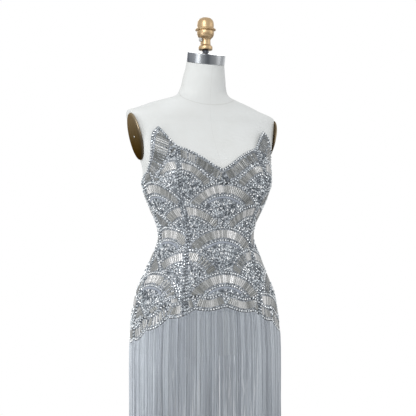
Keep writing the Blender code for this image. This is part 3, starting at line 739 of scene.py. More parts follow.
for node, left, right, side in PANELS:
    left_seam, right_seam = panel_sides(left, right, side)
    shares = [i / PANEL_COLUMNS for i in range(PANEL_COLUMNS + 1)]
    for corner, corner_height in NECKLINE:
        left_angle, right_angle = left_seam(corner_height), right_seam(corner_height)
        for signed in (corner, -corner):
            share = (signed - left_angle) / (right_angle - left_angle)
            if 0.01 < share < 0.99:
                shares.append(share)
    shares = sorted(shares)
    shares = [s for i, s in enumerate(shares) if i == 0 or s - shares[i - 1] > 1e-4]
    panel_bmesh = bmesh.new()
    skins = {}
    for out in (-NET_DEPTH, -CLOTH_WALL):
        grid = []
        for share in shares:
            low, high = HEM_SIDE, FIRST_HIGH
            for _ in range(6):
                low = hem(left_seam(low) * (1 - share) + right_seam(low) * share)
                high = neckline(left_seam(high) * (1 - share) + right_seam(high) * share)
            line = []
            for row in range(PANEL_ROWS + 1):
                height = low + (high - low) * row / PANEL_ROWS
                angle = left_seam(height) * (1 - share) + right_seam(height) * share
                line.append(panel_bmesh.verts.new(cloth_point(angle, height, out)))
            grid.append(line)
        skins[out] = grid
    outer, inner = skins[-NET_DEPTH], skins[-CLOTH_WALL]
    for i in range(len(shares) - 1):
        for j in range(PANEL_ROWS):
            panel_bmesh.faces.new((outer[i][j], outer[i + 1][j], outer[i + 1][j + 1], outer[i][j + 1]))
            panel_bmesh.faces.new((inner[i][j], inner[i][j + 1], inner[i + 1][j + 1], inner[i + 1][j]))
        panel_bmesh.faces.new((outer[i][0], inner[i][0], inner[i + 1][0], outer[i + 1][0]))
        panel_bmesh.faces.new((outer[i][-1], outer[i + 1][-1], inner[i + 1][-1], inner[i][-1]))
    for j in range(PANEL_ROWS):
        panel_bmesh.faces.new((outer[0][j], outer[0][j + 1], inner[0][j + 1], inner[0][j]))
        panel_bmesh.faces.new((outer[-1][j], inner[-1][j], inner[-1][j + 1], outer[-1][j + 1]))
    cloth = piece_from(node + "_net", panel_bmesh, net.material, 60)
    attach(cloth, ROOT)
    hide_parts(node)


# Where the beadwork lies
# Fans stand in columns round the body, each column half a step above the next, and the lower ones
# lie over the upper ones as scales do. One band of bars follows the neckline and another the hem.
FAN_COLUMNS, FAN_ROWS = 10, 6
FAN_PITCH, FAN_RADIUS, FAN_FOOT, FAN_LOWEST = 0.112, 0.100, 0.02, -0.306
FAN_WIDEST = 60                        # degrees to each side past which no fan reaches
NECK_REACH = 0.075                     # a place deeper than this inside the neckline isn't measured
NECK_WINDOW = 22                       # degrees to each side in which its nearest edge is looked for
CELL = 0.008                           # places are kept by cells of this size, to find near ones fast

fans = sorted(
    (FAN_LOWEST + row * FAN_PITCH - (FAN_PITCH / 2 if column % 2 else 0.0), column * 360.0 / FAN_COLUMNS)
    for column in range(FAN_COLUMNS)
    for row in range(FAN_ROWS)
)
neckline_steps = [(i / 2, neckline(i / 2)) for i in range(-360, 361)]
taken = {}


def wrapped(angle):
    return (angle + 180.0) % 360.0 - 180.0


def fan_at(angle, height):
    """The number of the lowest fan that reaches a place."""
    for number, (foot, middle) in enumerate(fans):
        rise = height - foot
        if -FAN_FOOT < rise < FAN_RADIUS:
            turn = wrapped(angle - middle)
            if abs(turn) < FAN_WIDEST and hypot(turn * degree_length(angle, height), rise) < FAN_RADIUS:
                return number
    return None


def fan_place(number, lean, reach):
    """The place in a fan at a lean from upright, in degrees, and a reach from its foot."""
    foot, middle = fans[number]
    height = foot + reach * cos(radians(lean))
    angle = middle
    for _ in range(3):
        angle = middle + reach * sin(radians(lean)) / degree_length(angle, height)
    return wrapped(angle), height


def below_neckline(angle, height):
    """How far a place lies inside the neckline, or less than nothing outside it."""
    if height >= neckline(angle):
        return -1.0
    if neckline(angle) - height > NECK_REACH:
        return NECK_REACH
    degree = degree_length(angle, height)
    beside = int((angle + 180.0) * 2)
    first, last = max(beside - 2 * NECK_WINDOW, 0), beside + 2 * NECK_WINDOW + 2
    return min(hypot((edge - angle) * degree, top - height) for edge, top in neckline_steps[first:last])


def above_hem(angle, height):
    """How far a place lies above the hem, square to it."""
    slope = (hem(angle + 2) - hem(angle - 2)) / (4 * degree_length(angle, height))
    return (height - hem(angle)) / sqrt(1 + slope * slope)


def panel_at(angle, height):
    """The panel at a place, and how far away its nearest seam is."""
    away = from_front(angle)
    seams = between(SEAMS, seam_heights, height) + [180.0]
    beyond = sum(away > seam for seam in seams[:3])
    name = "bodice_" + ("front", "side_front", "side_back", "back")[beyond]
    if beyond:
        name += "_left" if angle > 0 else "_right"
    return name, min(abs(away - seam) for seam in seams) * degree_length(angle, height)


def cloth_frame(angle, height):
    """A place on the cloth's face and its normal."""
    across = cloth_point(angle + 0.6, height, 0) - cloth_point(angle - 0.6, height, 0)
    up = cloth_point(angle, height + 0.003, 0) - cloth_point(angle, height - 0.003, 0)
    return cloth_point(angle, height, -NET_DEPTH), across.cross(up).normalized()


def cell_of(point):
    return tuple(int(c // CELL) for c in point)


def is_free(point, radius):
    """Whether nothing sewn on lies within a radius of a place."""
    x, y, z = cell_of(point)
    for i in (-1, 0, 1):
        for j in (-1, 0, 1):
            for k in (-1, 0, 1):
                for other, width in taken.get((x + i, y + j, z + k), ()):
                    if (other - point).length < radius + width:
                        return False
    return True


def take(point, radius):
    taken.setdefault(cell_of(point), []).append((point, radius))


# Rows of stones, bars and drops
# Cut stones in dark metal cups make every outline. Long silvered bars fan out between the outlines,
# and pointed drops and loose stones fill the middles. Each is sewn on by hand, close to the next.
STONE_WIDTH, STONE_RISE, STONE_PITCH = 0.0045, 0.0025, 0.0066
CUP_CHAIN = 0.0027                     # half width of the dark cups' links under a row
BAR_PITCH, BAR_INNER, BAR_OUTER, BAR_STEPS = 0.0054, 0.0019, 0.0026, 8
SHORTEST_BAR = 0.007
RIM, INNER_RIM = 0.0982, 0.0668        # reaches from a fan's foot
BARS_FROM, BARS_TO = 0.0702, 0.0950
SATIN_REACH, SATIN_HALF, SATIN_SPREAD = 0.0612, 0.0027, 40
DROP_RINGS = (0.0545, 0.0445, 0.0345, 0.0245)
DROP_SIZE, DROP_SEAM_ROOM = (0.0090, 0.0036, 0.0024), 0.001
FAN_SPREAD = 84                        # degrees that a fan opens to each side
FILL_PITCH, FILL_WIDTHS, FILL_TOP = 0.0044, (0.0028, 0.0047), 0.268
FILL_MEASURED_TO = 0.26                # the fill's steps round the body are measured up to this height
EDGE_ROOM = 0.0022                     # nothing is sewn nearer than this to an edge
ROW_CROWDING, CROWDING = 0.92, 0.86    # how near two beads may come, as a share of their widths
NECK_ROWS = (0.0032, 0.0385)
NECK_BARS = (0.0066, 0.0350)
NECK_BAND_END = 78.0                   # degrees from the front
HEM_ROWS = (0.0030, 0.0325)
HEM_BARS = (0.0064, 0.0292)
HEM_LEAN = 6.0                         # degrees that a lobe's bars draw in at their upper ends
SEAM_ROW, SEAM_STEP, SEAM_STEPS = 0.0030, 0.0016, 320  # a row's distance from its seam, its steps upwards
SEAM_STRIP = 0.0056                    # bare width beside a seam, where its row goes
ROW_LEEWAY = 0.0004                    # how far a row may stray towards a seam
# Stones in rows take their tones from these ranges: partly their own colours, partly painted glints.
ROW_TONES, SEAM_TONES = (0.62, 1.0), (0.36, 0.82)

draw = Random(11)
stones, drops, bars, links, satin = {}, {}, {}, {}, {}


def sew_stone(angle, height, width, tone, seam_room=SEAM_STRIP, crowding=ROW_CROWDING):
    """Sews one stone as its place, facing, direction, size and tone, and says whether it found room."""
    panel, room = panel_at(angle, height)
    if room < seam_room:
        return False
    point, facing = cloth_frame(angle, height)
    if not is_free(point, width / 2 * crowding):
        return False
    take(point, width / 2)
    turn = Vector((draw.random() - 0.5, draw.random() - 0.5, draw.random() - 0.5))
    size = Vector((width, width, STONE_RISE * width / STONE_WIDTH))
    stones.setdefault(panel, []).append((point, facing, turn, size, tone))
    return True


def sew_drop(angle, height, ahead, tone):
    """Sews one pointed drop along the way from a place to the place ahead."""
    panel, room = panel_at(angle, height)
    if room < SEAM_STRIP + DROP_SEAM_ROOM:
        return
    point, facing = cloth_frame(angle, height)
    direction = (cloth_point(*ahead, -NET_DEPTH) - point).normalized()
    tips = [point + direction * (DROP_SIZE[0] * share) for share in (-0.3, 0, 0.3)]
    if all(is_free(tip, DROP_SIZE[1] * 0.36) for tip in tips):
        for tip in tips:
            take(tip, DROP_SIZE[1] * 0.42)
        drops.setdefault(panel, []).append((point, facing, direction, Vector(DROP_SIZE), tone))


def sew_line(run, lines, panel, half_widths, tone):
    """Keeps a run of (place, facing) as one line with a half width at each point."""
    if len(run) > 1:
        lines.setdefault(panel, []).append((run, half_widths, tone))


def sew_row(path, allowed, seam_room=SEAM_STRIP, tones=ROW_TONES):
    """A row of stones along a path of close places, on the dark links that join their cups."""
    gone, last, run, run_panel, covered = STONE_PITCH, None, [], None, []
    seam_room -= ROW_LEEWAY
    for angle, height in path:
        point, facing = cloth_frame(angle, height)
        panel, room = panel_at(angle, height)
        gone += (point - last).length if last else 0.0
        last = point
        open_here = room >= seam_room and allowed(angle, height) and is_free(point, CUP_CHAIN * 0.8)
        if not open_here or panel != run_panel:
            sew_line(run, links, run_panel, [CUP_CHAIN] * len(run), 0.0)
            run, run_panel = [], panel
        if not open_here:
            continue
        run.append((point, facing))
        covered.append(point)
        if gone >= STONE_PITCH and sew_stone(angle, height, STONE_WIDTH, draw.uniform(*tones), seam_room):
            gone = 0.0
    sew_line(run, links, run_panel, [CUP_CHAIN] * len(run), 0.0)
    for point in covered[::2]:
        take(point, CUP_CHAIN)


def sew_bar(start, end, half_widths, tone, allowed):
    """A bar from one place to another, as far as it finds room."""
    runs, run = [], []
    for i in range(BAR_STEPS + 1):
        angle, height = (a + (b - a) * i / BAR_STEPS for a, b in zip(start, end))
        panel, room = panel_at(angle, height)
        point, facing = cloth_frame(angle, height)
        wide = half_widths[0] + (half_widths[1] - half_widths[0]) * i / BAR_STEPS
        if room > SEAM_STRIP and allowed(angle, height) and is_free(point, wide * CROWDING):
            if run and run[-1][3] != panel:
                runs.append(run)
                run = []
            run.append((point, facing, wide, panel))
        else:
            runs.append(run)
            run = []
    runs.append(run)
    best = max(runs, key=len)
    if len(best) < 2 or (best[0][0] - best[-1][0]).length < SHORTEST_BAR:
        return
    for point, _, wide, _ in best:
        take(point, wide * 0.98)
    kept = best[::2] if len(best) % 2 else best[::2] + [best[-1]]
    sew_line([spot[:2] for spot in kept], bars, best[0][3], [spot[2] for spot in kept], tone)


def walk(path, step):
    """Places a step apart along a path of places."""
    last, gone = None, step
    for angle, height in path:
        point = cloth_point(angle, height, 0)
        gone += (point - last).length if last else 0.0
        last = point
        if gone >= step:
            gone = 0.0
            yield angle, height


def inside_edge(angle, edge, depth, sign):
    """The place a depth inside an edge, square to it. The sign is -1 below the edge and 1 above it."""
    degree = degree_length(angle, edge(angle))
    slope = (edge(angle + 0.4) - edge(angle - 0.4)) / (0.8 * degree)
    length = sqrt(1 + slope * slope)
    return wrapped(angle - sign * slope * depth / length / degree), edge(angle) + sign * depth / length


def on_cloth(angle, height):
    return above_hem(angle, height) > EDGE_ROOM and below_neckline(angle, height) > EDGE_ROOM


# Two rows along each seam
for seam in range(CENTRE_BACK + 1):
    for side in ((1, -1) if seam < CENTRE_BACK else (1,)):
        for beside in (-SEAM_ROW, SEAM_ROW):
            seam_path = []
            for i in range(SEAM_STEPS):
                height = HEM_SIDE + SEAM_STEP * i
                middle = seam_angle(seam, height) * side
                seam_path.append((wrapped(middle + beside / degree_length(middle, height)), height))
            sew_row(seam_path, on_cloth, SEAM_ROW, SEAM_TONES)

# Rows along the neckline and the hem
fine_angles = [i / 4 for i in range(-720, 720)]
for depth in NECK_ROWS:
    neck_path = [
        inside_edge(a, neckline, depth, -1) for a in fine_angles
        if depth < NECK_ROWS[1] or abs(a) < NECK_BAND_END
    ]
    sew_row(neck_path, lambda a, h, d=depth: below_neckline(a, h) > d * 0.93)
for depth in HEM_ROWS:
    hem_path = [inside_edge(a, hem, depth, 1) for a in fine_angles]
    sew_row(hem_path, lambda a, h, d=depth: above_hem(a, h) > d * 0.8 and below_neckline(a, h) > 0.01)

# Bars between each pair of rows, square to the neckline and upright in the hem's lobes
for angle, height in walk([(a, neckline(a)) for a in fine_angles if abs(a) < NECK_BAND_END], BAR_PITCH):
    start = inside_edge(angle, neckline, NECK_BARS[0], -1)
    end = inside_edge(angle, neckline, NECK_BARS[1], -1)
    # Painted sheen: the tone rises and falls in slow waves along the neckline, with random tone on top.
    tone = 0.26 + 0.42 * noise(Vector((angle * 0.07, 3.0, 0.0))) + draw.uniform(-0.22, 0.20)
    sew_bar(start, end, (BAR_OUTER, BAR_INNER), tone, lambda a, h: below_neckline(a, h) > 0.0055)
for angle, height in walk([(a, hem(a)) for a in fine_angles], BAR_PITCH):
    lobe = (angle * SCALLOPS / 360.0) % 1.0 - 0.5
    start = inside_edge(angle, hem, HEM_BARS[0], 1)
    end = (start[0] - lobe * HEM_LEAN, start[1] + HEM_BARS[1] - HEM_BARS[0])
    # Painted highlight: bars are lighter in the middle of each lobe and darker at its sides, with random tone
    # on top.
    tone = 0.70 - 0.8 * abs(lobe) + draw.uniform(-0.14, 0.12)
    sew_bar(start, end, (BAR_OUTER, BAR_INNER), tone, on_cloth)

# Fans, the lowest first: two rims, bars between them, in every other column a satin arc, and drops
for number in range(len(fans)):
    def in_fan(angle, height, number=number):
        return fan_at(angle, height) == number and on_cloth(angle, height)

    for reach in (RIM, INNER_RIM):
        rim = [fan_place(number, lean / 2, reach) for lean in range(-2 * FAN_SPREAD, 2 * FAN_SPREAD + 1)]
        sew_row(rim, in_fan)
    bar_count = int(radians(2 * FAN_SPREAD) * BARS_TO / BAR_PITCH)
    # Painted highlight: each fan's bars are lighter round one lean and darker to the sides, with random tone
    # on top.
    painted_highlight_lean = draw.uniform(-16, 16)
    for i in range(bar_count + 1):
        lean = FAN_SPREAD * (2 * i / bar_count - 1)
        tone = 0.28 + 0.46 * exp(-((lean - painted_highlight_lean) / 36.0) ** 2) + draw.uniform(-0.20, 0.18)
        start, end = fan_place(number, lean, BARS_FROM), fan_place(number, lean, BARS_TO)
        if abs(end[0] - start[0]) < 90:
            sew_bar(start, end, (BAR_INNER, BAR_OUTER), tone, in_fan)
    fan_column = round(fans[number][1] * FAN_COLUMNS / 360)
    arcs, arc, arc_panel = [], [], None
    for lean in range(-SATIN_SPREAD, SATIN_SPREAD + 1, 2) if fan_column % 2 == 0 else ():
        angle, height = fan_place(number, lean, SATIN_REACH)
        panel, room = panel_at(angle, height)
        point, facing = cloth_frame(angle, height)
        clear = room > SEAM_STRIP and in_fan(angle, height) and is_free(point, SATIN_HALF * 0.9)
        if clear and (not arc or panel == arc_panel):
            arc.append((point, facing))
            arc_panel = panel
        else:
            arcs.append((arc, arc_panel))
            arc = []
    arcs.append((arc, arc_panel))
    for arc, arc_panel in arcs:
        sew_line(arc, satin, arc_panel, [SATIN_HALF] * len(arc), 0.5)
        for point, _ in arc:
            take(point, SATIN_HALF)
    for ring, reach in enumerate(DROP_RINGS):
        spread = 64 - 7 * ring
        count = int(2 * radians(spread) * reach / (DROP_SIZE[1] + 0.0006))
        for i in range(count + 1):
            lean = spread * (2 * i / count - 1) + draw.uniform(-2, 2)
            place = fan_place(number, lean, reach)
            if in_fan(*place):
                ahead = fan_place(number, lean + draw.uniform(-6, 6), reach + 0.004)
                sew_drop(*place, ahead, 0.18 + 0.82 * draw.random() ** 0.75)

# Loose stones in the room that is left
fill_height = HEM_SIDE
while fill_height < FILL_TOP:
    fill_angle = -180.0
    while fill_angle < 180.0:
        angle = wrapped(fill_angle + draw.uniform(-0.45, 0.45))
        height = fill_height + draw.uniform(-0.0012, 0.0012)
        if on_cloth(angle, height):
            width = draw.uniform(*FILL_WIDTHS)
            sew_stone(angle, height, width, 0.18 + 0.82 * draw.random(), crowding=CROWDING)
        fill_angle += FILL_PITCH / degree_length(angle, min(height, FILL_MEASURED_TO))
    fill_height += FILL_PITCH * 0.8


# Beads, bars and strands as meshes
# One cut stone and one drop are set on all their places, and bars, links and satin are drawn out along
# their lines. Each kind is one plain mesh for a panel, because a panel is beaded before it is sewn in.
class Recipe:
    """A geometry-node tree with named inputs, run on a mesh of places or lines."""

    def __init__(self, name, inputs):
        self.tree = bpy.data.node_groups.new(name, "GeometryNodeTree")
        face = self.tree.interface
        face.new_socket("Geometry", in_out="INPUT", socket_type="NodeSocketGeometry")
        self.keys = {}
        for label, kind in inputs:
            made = face.new_socket(label, in_out="INPUT", socket_type="NodeSocket" + kind)
            self.keys[label] = made.identifier
        face.new_socket("Geometry", in_out="OUTPUT", socket_type="NodeSocketGeometry")
        self.start = self.tree.nodes.new("NodeGroupInput").outputs
        self.end = self.tree.nodes.new("NodeGroupOutput").inputs

    def add(self, kind, settings=None, **sockets):
        """A node with its settings and its inputs, linked or set by name."""
        node = self.tree.nodes.new(kind)
        for setting, value in (settings or {}).items():
            setattr(node, setting, value)
        for label, value in sockets.items():
            socket = node.inputs[label.replace("_", " ")]
            if hasattr(value, "is_output"):
                self.tree.links.new(value, socket)
            else:
                socket.default_value = value
        return node

    def named(self, name, kind="FLOAT"):
        """What the mesh's points carry under a name."""
        node = self.add("GeometryNodeInputNamedAttribute", {"data_type": kind}, Name=name)
        return node.outputs["Attribute"]

    def finish(self, geometry):
        self.tree.links.new(geometry, self.end[0])

    def run(self, name, mesh, **values):
        """The tree's result on a mesh, as a plain mesh object of its own."""
        carrier = bpy.data.objects.new(name + "_places", mesh)
        bpy.context.scene.collection.objects.link(carrier)
        modifier = carrier.modifiers.new("recipe", "NODES")
        modifier.node_group = self.tree
        for label, value in values.items():
            modifier[self.keys[label.replace("_", " ")]] = value
        graph = bpy.context.evaluated_depsgraph_get()
        made_mesh = bpy.data.meshes.new_from_object(
            carrier.evaluated_get(graph), preserve_all_data_layers=True, depsgraph=graph,
        )
        carrier.modifiers.remove(modifier)
        bpy.data.objects.remove(carrier)
        bpy.data.meshes.remove(mesh)
        made_mesh.name = name
        made = bpy.data.objects.new(name, made_mesh)
        bpy.context.scene.collection.objects.link(made)
        return made


# Stones and drops are set on their places, each turned to its facing and a little askew
setting = Recipe("set_on_cloth", (
    ("Bead", "Object"), ("Finish", "Material"), ("Askew", "Float"), ("Seed", "Int"),
))
bead_form = setting.add("GeometryNodeObjectInfo", Object=setting.start["Bead"])
bead_turn = setting.add(
    "FunctionNodeAxesToRotation", {"primary_axis": "Z", "secondary_axis": "X"},
    Primary_Axis=setting.named("facing", "FLOAT_VECTOR"),
    Secondary_Axis=setting.named("along", "FLOAT_VECTOR"),
)
most_askew = setting.add("ShaderNodeCombineXYZ", X=setting.start["Askew"], Y=setting.start["Askew"])
least_askew = setting.add("ShaderNodeVectorMath", {"operation": "SCALE"}, Scale=-1.0)
setting.tree.links.new(most_askew.outputs[0], least_askew.inputs[0])
askew = setting.add("FunctionNodeRandomValue", {"data_type": "FLOAT_VECTOR"}, Seed=setting.start["Seed"])
setting.tree.links.new(least_askew.outputs[0], askew.inputs[0])
setting.tree.links.new(most_askew.outputs[0], askew.inputs[1])
askew_turn = setting.add("FunctionNodeEulerToRotation", Euler=askew.outputs[0])
set_turn = setting.add(
    "FunctionNodeRotateRotation", {"rotation_space": "LOCAL"},
    Rotation=bead_turn.outputs[0], Rotate_By=askew_turn.outputs[0],
)
set_beads = setting.add(
    "GeometryNodeInstanceOnPoints", Points=setting.start["Geometry"], Instance=bead_form.outputs["Geometry"],
    Rotation=set_turn.outputs[0], Scale=setting.named("size", "FLOAT_VECTOR"),
)
real_beads = setting.add("GeometryNodeRealizeInstances", Geometry=set_beads.outputs[0])
finished_beads = setting.add(
    "GeometryNodeSetMaterial", Geometry=real_beads.outputs[0], Material=setting.start["Finish"],
)
setting.finish(finished_beads.outputs[0])

# Bars, links, satin and strands are laid along lines, as thick as each point says
laying = Recipe("laid_along_lines", (
    ("Finish", "Material"), ("Sides", "Int"), ("Flatness", "Float"),
    ("Waver", "Float"), ("Waver Scale", "Float"),
))
drawn_line = laying.add("GeometryNodeMeshToCurve", Mesh=laying.start["Geometry"])
line_waver = laying.add("ShaderNodeTexNoise", Scale=laying.start["Waver Scale"], Detail=1.0)
waver_middle = laying.add("ShaderNodeVectorMath", {"operation": "SUBTRACT"})
laying.tree.links.new(line_waver.outputs["Color"], waver_middle.inputs[0])
waver_middle.inputs[1].default_value = (0.5, 0.5, 0.5)
waver_size = laying.add("ShaderNodeVectorMath", {"operation": "SCALE"}, Scale=laying.start["Waver"])
laying.tree.links.new(waver_middle.outputs[0], waver_size.inputs[0])
wavering = laying.add("GeometryNodeSetPosition", Geometry=drawn_line.outputs[0], Offset=waver_size.outputs[0])
faced = laying.add(
    "GeometryNodeSetCurveNormal", {"mode": "FREE"},
    Curve=wavering.outputs[0], Normal=laying.named("facing", "FLOAT_VECTOR"),
)
round_section = laying.add("GeometryNodeCurvePrimitiveCircle", Resolution=laying.start["Sides"], Radius=1.0)
section_size = laying.add("ShaderNodeCombineXYZ", X=laying.start["Flatness"], Y=1.0, Z=1.0)
flat_section = laying.add(
    "GeometryNodeTransform", Geometry=round_section.outputs[0], Scale=section_size.outputs[0],
)
laid = laying.add(
    "GeometryNodeCurveToMesh", Curve=faced.outputs[0], Profile_Curve=flat_section.outputs[0],
    Scale=laying.named("thick"), Fill_Caps=True,
)
real_lines = laying.add("GeometryNodeRealizeInstances", Geometry=laid.outputs[0])
finished_lines = laying.add(
    "GeometryNodeSetMaterial", Geometry=real_lines.outputs[0], Material=laying.start["Finish"],
)
laying.finish(finished_lines.outputs[0])


def places_mesh(name, beads):
    """Beads as loose points that carry their facing, direction, size and tone."""
    mesh = bpy.data.meshes.new(name)
    mesh.from_pydata([bead[0] for bead in beads], [], [])
    for column, label in enumerate(("facing", "along", "size"), 1):
        layer = mesh.attributes.new(label, "FLOAT_VECTOR", "POINT")
        layer.data.foreach_set("vector", [c for bead in beads for c in bead[column]])
    mesh.attributes.new("tone", "FLOAT", "POINT").data.foreach_set("value", [bead[4] for bead in beads])
    return mesh


def lines_mesh(name, lines):
    """Lines as chains of points that carry their facing, half width and tone."""
    points, facings, edges, thick, tones = [], [], [], [], []
    for run, half_widths, tone in lines:
        edges += [(len(points) + i, len(points) + i + 1) for i in range(len(run) - 1)]
        points += [point for point, _ in run]
        facings += [c for _, facing in run for c in facing]
        thick += half_widths
        tones += [tone] * len(run)
    mesh = bpy.data.meshes.new(name)
    mesh.from_pydata(points, edges, [])
    mesh.attributes.new("facing", "FLOAT_VECTOR", "POINT").data.foreach_set("vector", facings)
    mesh.attributes.new("thick", "FLOAT", "POINT").data.foreach_set("value", thick)
    mesh.attributes.new("tone", "FLOAT", "POINT").data.foreach_set("value", tones)
    return mesh


def bead_shape(name, rings):
    """A bead one metre across, from (half width, half length, height) rings, to be scaled by its size."""
    sides = 8
    bead_bmesh = bmesh.new()
    made = [
        [
            bead_bmesh.verts.new((long * cos(2 * pi * i / sides), wide * sin(2 * pi * i / sides), height))
            for i in range(sides)
        ]
        for wide, long, height in rings
    ]
    ring_faces(bead_bmesh, made)
    mesh = bpy.data.meshes.new(name)
    bead_bmesh.to_mesh(mesh)
    bead_bmesh.free()
    return bpy.data.objects.new(name, mesh)


crystal = Shader("cut_crystal", (0.5, 0.5, 0.55, 1), 0.14, 0.35)
# Each stone's and drop's tone runs from near black to white: partly their own colours, partly painted glints.
crystal.colour(crystal.attribute("tone"), [
    (0.0, (0.020, 0.025, 0.032, 1)), (0.30, (0.095, 0.112, 0.130, 1)), (0.50, (0.26, 0.29, 0.32, 1)),
    (0.64, (0.56, 0.61, 0.64, 1)), (0.85, (0.80, 0.83, 0.85, 1)), (1.0, (0.97, 0.98, 0.98, 1)),
])
crystal.rough(crystal.grain(420.0), 0.16, 0.06)
silvered = Shader("silvered_bars", (0.5, 0.5, 0.48, 1), 0.26, 0.35)
# The bars' tone carries painted highlights and painted sheen as well as their own random tone.
silvered_tone = silvered.math("MULTIPLY_ADD", silvered.grain(120.0, 2.0), 0.12, silvered.attribute("tone"))
silvered.colour(silvered_tone, [
    (0.12, (0.120, 0.125, 0.120, 1)), (0.40, (0.240, 0.246, 0.240, 1)), (0.65, (0.390, 0.396, 0.392, 1)),
    (0.85, (0.60, 0.60, 0.60, 1)), (1.0, (0.76, 0.76, 0.76, 1)),
])
silvered.rough(silvered.grain(300.0), 0.14, 0.20)
dark_cups = Shader("dark_cups", (0.055, 0.06, 0.068, 1), 0.35, 0.8)
dark_cups.bump(dark_cups.grain(700.0), 0.2, 0.0003)
lilac_satin = Shader("lilac_satin", (0.32, 0.35, 0.41, 1), 0.48)
lilac_satin.put(lilac_satin.surface, "Sheen Weight", 0.25)
satin_stitches = lilac_satin.grain(900.0, 1.0, (1, 1, 0.3))
lilac_satin.colour(satin_stitches, [
    (0.3, (0.19, 0.215, 0.255, 1)), (0.7, (0.32, 0.35, 0.405, 1)),
])
lilac_satin.bump(satin_stitches, 0.3, 0.0003)

cut_stone = bead_shape("cut_stone", ((0.50, 0.50, 0.0), (0.50, 0.50, 0.30), (0.28, 0.28, 1.0)))
pointed_drop = bead_shape("pointed_drop", ((0.40, 0.42, 0.0), (0.50, 0.50, 0.35), (0.20, 0.28, 1.0)))
for drop_vert in pointed_drop.data.vertices:
    # drawn out to a point at both ends, round at the sides
    along_share = abs(drop_vert.co.x) / 0.5
    drop_vert.co.y *= 1.0 - 0.75 * along_share ** 2

for node, *_ in PANELS:
    sewn = []
    for kind, bead, places, askew_most in (
        ("stones", cut_stone, stones, 0.10),
        ("drops", pointed_drop, drops, 0.16),
    ):
        if places.get(node):
            sewn.append(setting.run(
                node + "_" + kind, places_mesh(node + kind, places[node]),
                Bead=bead, Finish=crystal.material, Askew=askew_most, Seed=7,
            ))
    for kind, lines, finish, sides, flatness in (
        ("bars", bars, silvered, 8, 0.5),
        ("links", links, dark_cups, 5, 0.45),
        ("satin", satin, lilac_satin, 8, 0.55),
    ):
        if lines.get(node):
            laid_piece = laying.run(
                node + "_" + kind, lines_mesh(node + kind, lines[node]),
                Finish=finish.material, Sides=sides, Flatness=flatness, Waver=0.0, Waver_Scale=1.0,
            )
            laid_piece.data.shade_smooth()
            laid_piece.data.set_sharp_from_angle(angle=radians(50))
            sewn.append(laid_piece)
    for piece in sewn:
        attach(piece, ROOT)


# Fringe
# Two curtains of fine twisted rayon, front and back, each knotted along a narrow heading tape under the
# hem. The strands lie on the hips, then fall plumb, and end just above the floor.
TAPE_HEIGHT, HEM_GAP, FRINGE_PROUD = 0.009, 0.0008, 0.001
FRINGE_END, EVEN_ENDS = 0.030, 0.006   # above the floor, and how uneven the ends are
STRANDS, STRAND_RADIUS = 1300, 0.00040
HIP_STEPS, HANG_STEPS = 4, 11
STRAND_DEPTH = 0.0050                  # how far apart in depth the curtain's strands lie
TAPE_STEPS, TAPE_FACE = 120, -0.001    # the tape's face lies under the strands
TAPES_PARTED = 0.045                   # degrees by which a tape ends short of the side

fringe_yarn = Shader("fringe_yarn", (0.55, 0.57, 0.62, 1), 0.5)
yarn_tone = fringe_yarn.math(
    "MULTIPLY_ADD", fringe_yarn.grain(60.0, 2.0, (1, 1, 0.05)), 0.3, fringe_yarn.attribute("tone"),
)
fringe_yarn.colour(yarn_tone, [
    (0.08, (0.108, 0.121, 0.150, 1)), (0.30, (0.352, 0.382, 0.43, 1)), (0.65, (0.525, 0.567, 0.615, 1)),
    (1.0, (0.765, 0.818, 0.86, 1)),
])
fringe_yarn.put(fringe_yarn.surface, "Sheen Weight", 0.10)
fringe_yarn.bump(fringe_yarn.grain(600.0, 1.0, (1, 1, 0.4)), 0.35, 0.0004)

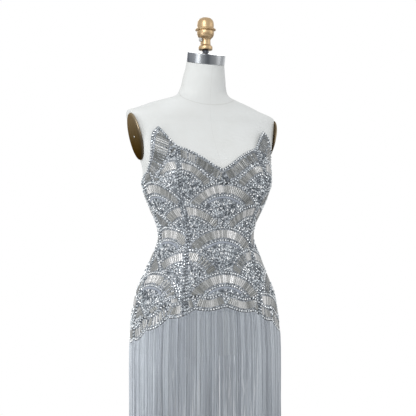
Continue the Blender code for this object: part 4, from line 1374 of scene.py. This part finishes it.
for node, middle in (("fringe_front", 0.0), ("fringe_back", 180.0)):
    strands = []
    for i in range(STRANDS):
        angle = wrapped(middle - 90.0 + 180.0 * (i + 0.5 + draw.uniform(-0.7, 0.7)) / STRANDS)
        clump = noise(Vector((angle * 0.9, 0.0, 5.0)))
        depth = draw.random() * STRAND_DEPTH + 0.0012 * clump
        top = hem(angle) - HEM_GAP - STRAND_RADIUS
        spots = []
        for j in range(HIP_STEPS + 1):
            height = top + (section_heights[0] - top) * j / HIP_STEPS
            spots.append(cloth_point(angle, height, FRINGE_PROUD + 0.0003 - 0.35 * depth))
        foot = spots[-1]
        away = Vector((foot.x, foot.y, 0)).normalized()
        lean = noise(Vector((angle * 0.35, 2.0, 0.0))) * 0.010
        side = Vector((-away.y, away.x, 0)) * (lean + draw.uniform(-0.004, 0.004))
        end = FRINGE_END + draw.uniform(0, EVEN_ENDS)
        for j in range(1, HANG_STEPS + 1):
            share = j / HANG_STEPS
            spot = foot + side * share - away * (depth * share)
            spots.append(Vector((spot.x, spot.y, foot.z + (end - foot.z) * share)))
        tone = 0.41 + 0.08 * noise(Vector((angle * 1.6, 9.0, 0.0))) + draw.uniform(-0.28, 0.30)
        # Painted shade: strands in some clumps are darker, standing in for the shaded gaps of the curtain.
        if noise(Vector((angle * 3.1, 17.0, 0.0))) > 0.36:
            tone -= 0.34
        thickness = [STRAND_RADIUS] * (len(spots) - 1) + [STRAND_RADIUS * 0.6]
        strands.append(([(spot, away) for spot in spots], thickness, tone))
    curtain = laying.run(
        node + "_strands", lines_mesh(node + "lines", strands),
        Finish=fringe_yarn.material, Sides=3, Flatness=1.0, Waver=0.0030, Waver_Scale=14.0,
    )
    curtain.data.shade_smooth()

    tape_bmesh = bmesh.new()
    tape_rings = []
    for i in range(TAPE_STEPS + 1):
        angle = wrapped(middle - 90.0 + TAPES_PARTED + (180.0 - 2 * TAPES_PARTED) * i / TAPE_STEPS)
        high = hem(angle) - HEM_GAP
        low = high - TAPE_HEIGHT
        tape_rings.append([
            tape_bmesh.verts.new(cloth_point(angle, height, out))
            for height, out in ((low, TAPE_FACE), (low, -CLOTH_WALL), (high, -CLOTH_WALL), (high, TAPE_FACE))
        ])
    ring_faces(tape_bmesh, tape_rings)
    bmesh.ops.recalc_face_normals(tape_bmesh, faces=tape_bmesh.faces)
    tape = piece_from(node + "_tape", tape_bmesh, fringe_yarn.material, 50)
    for piece in (curtain, tape):
        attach(piece, ROOT)
    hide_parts(node)

# Each panel's sheet, with its beadwork and the fringe that hangs from it
for node, *_ in PANELS:
    width, length, area = PANEL_CUT[node.replace("_left", "").replace("_right", "")]
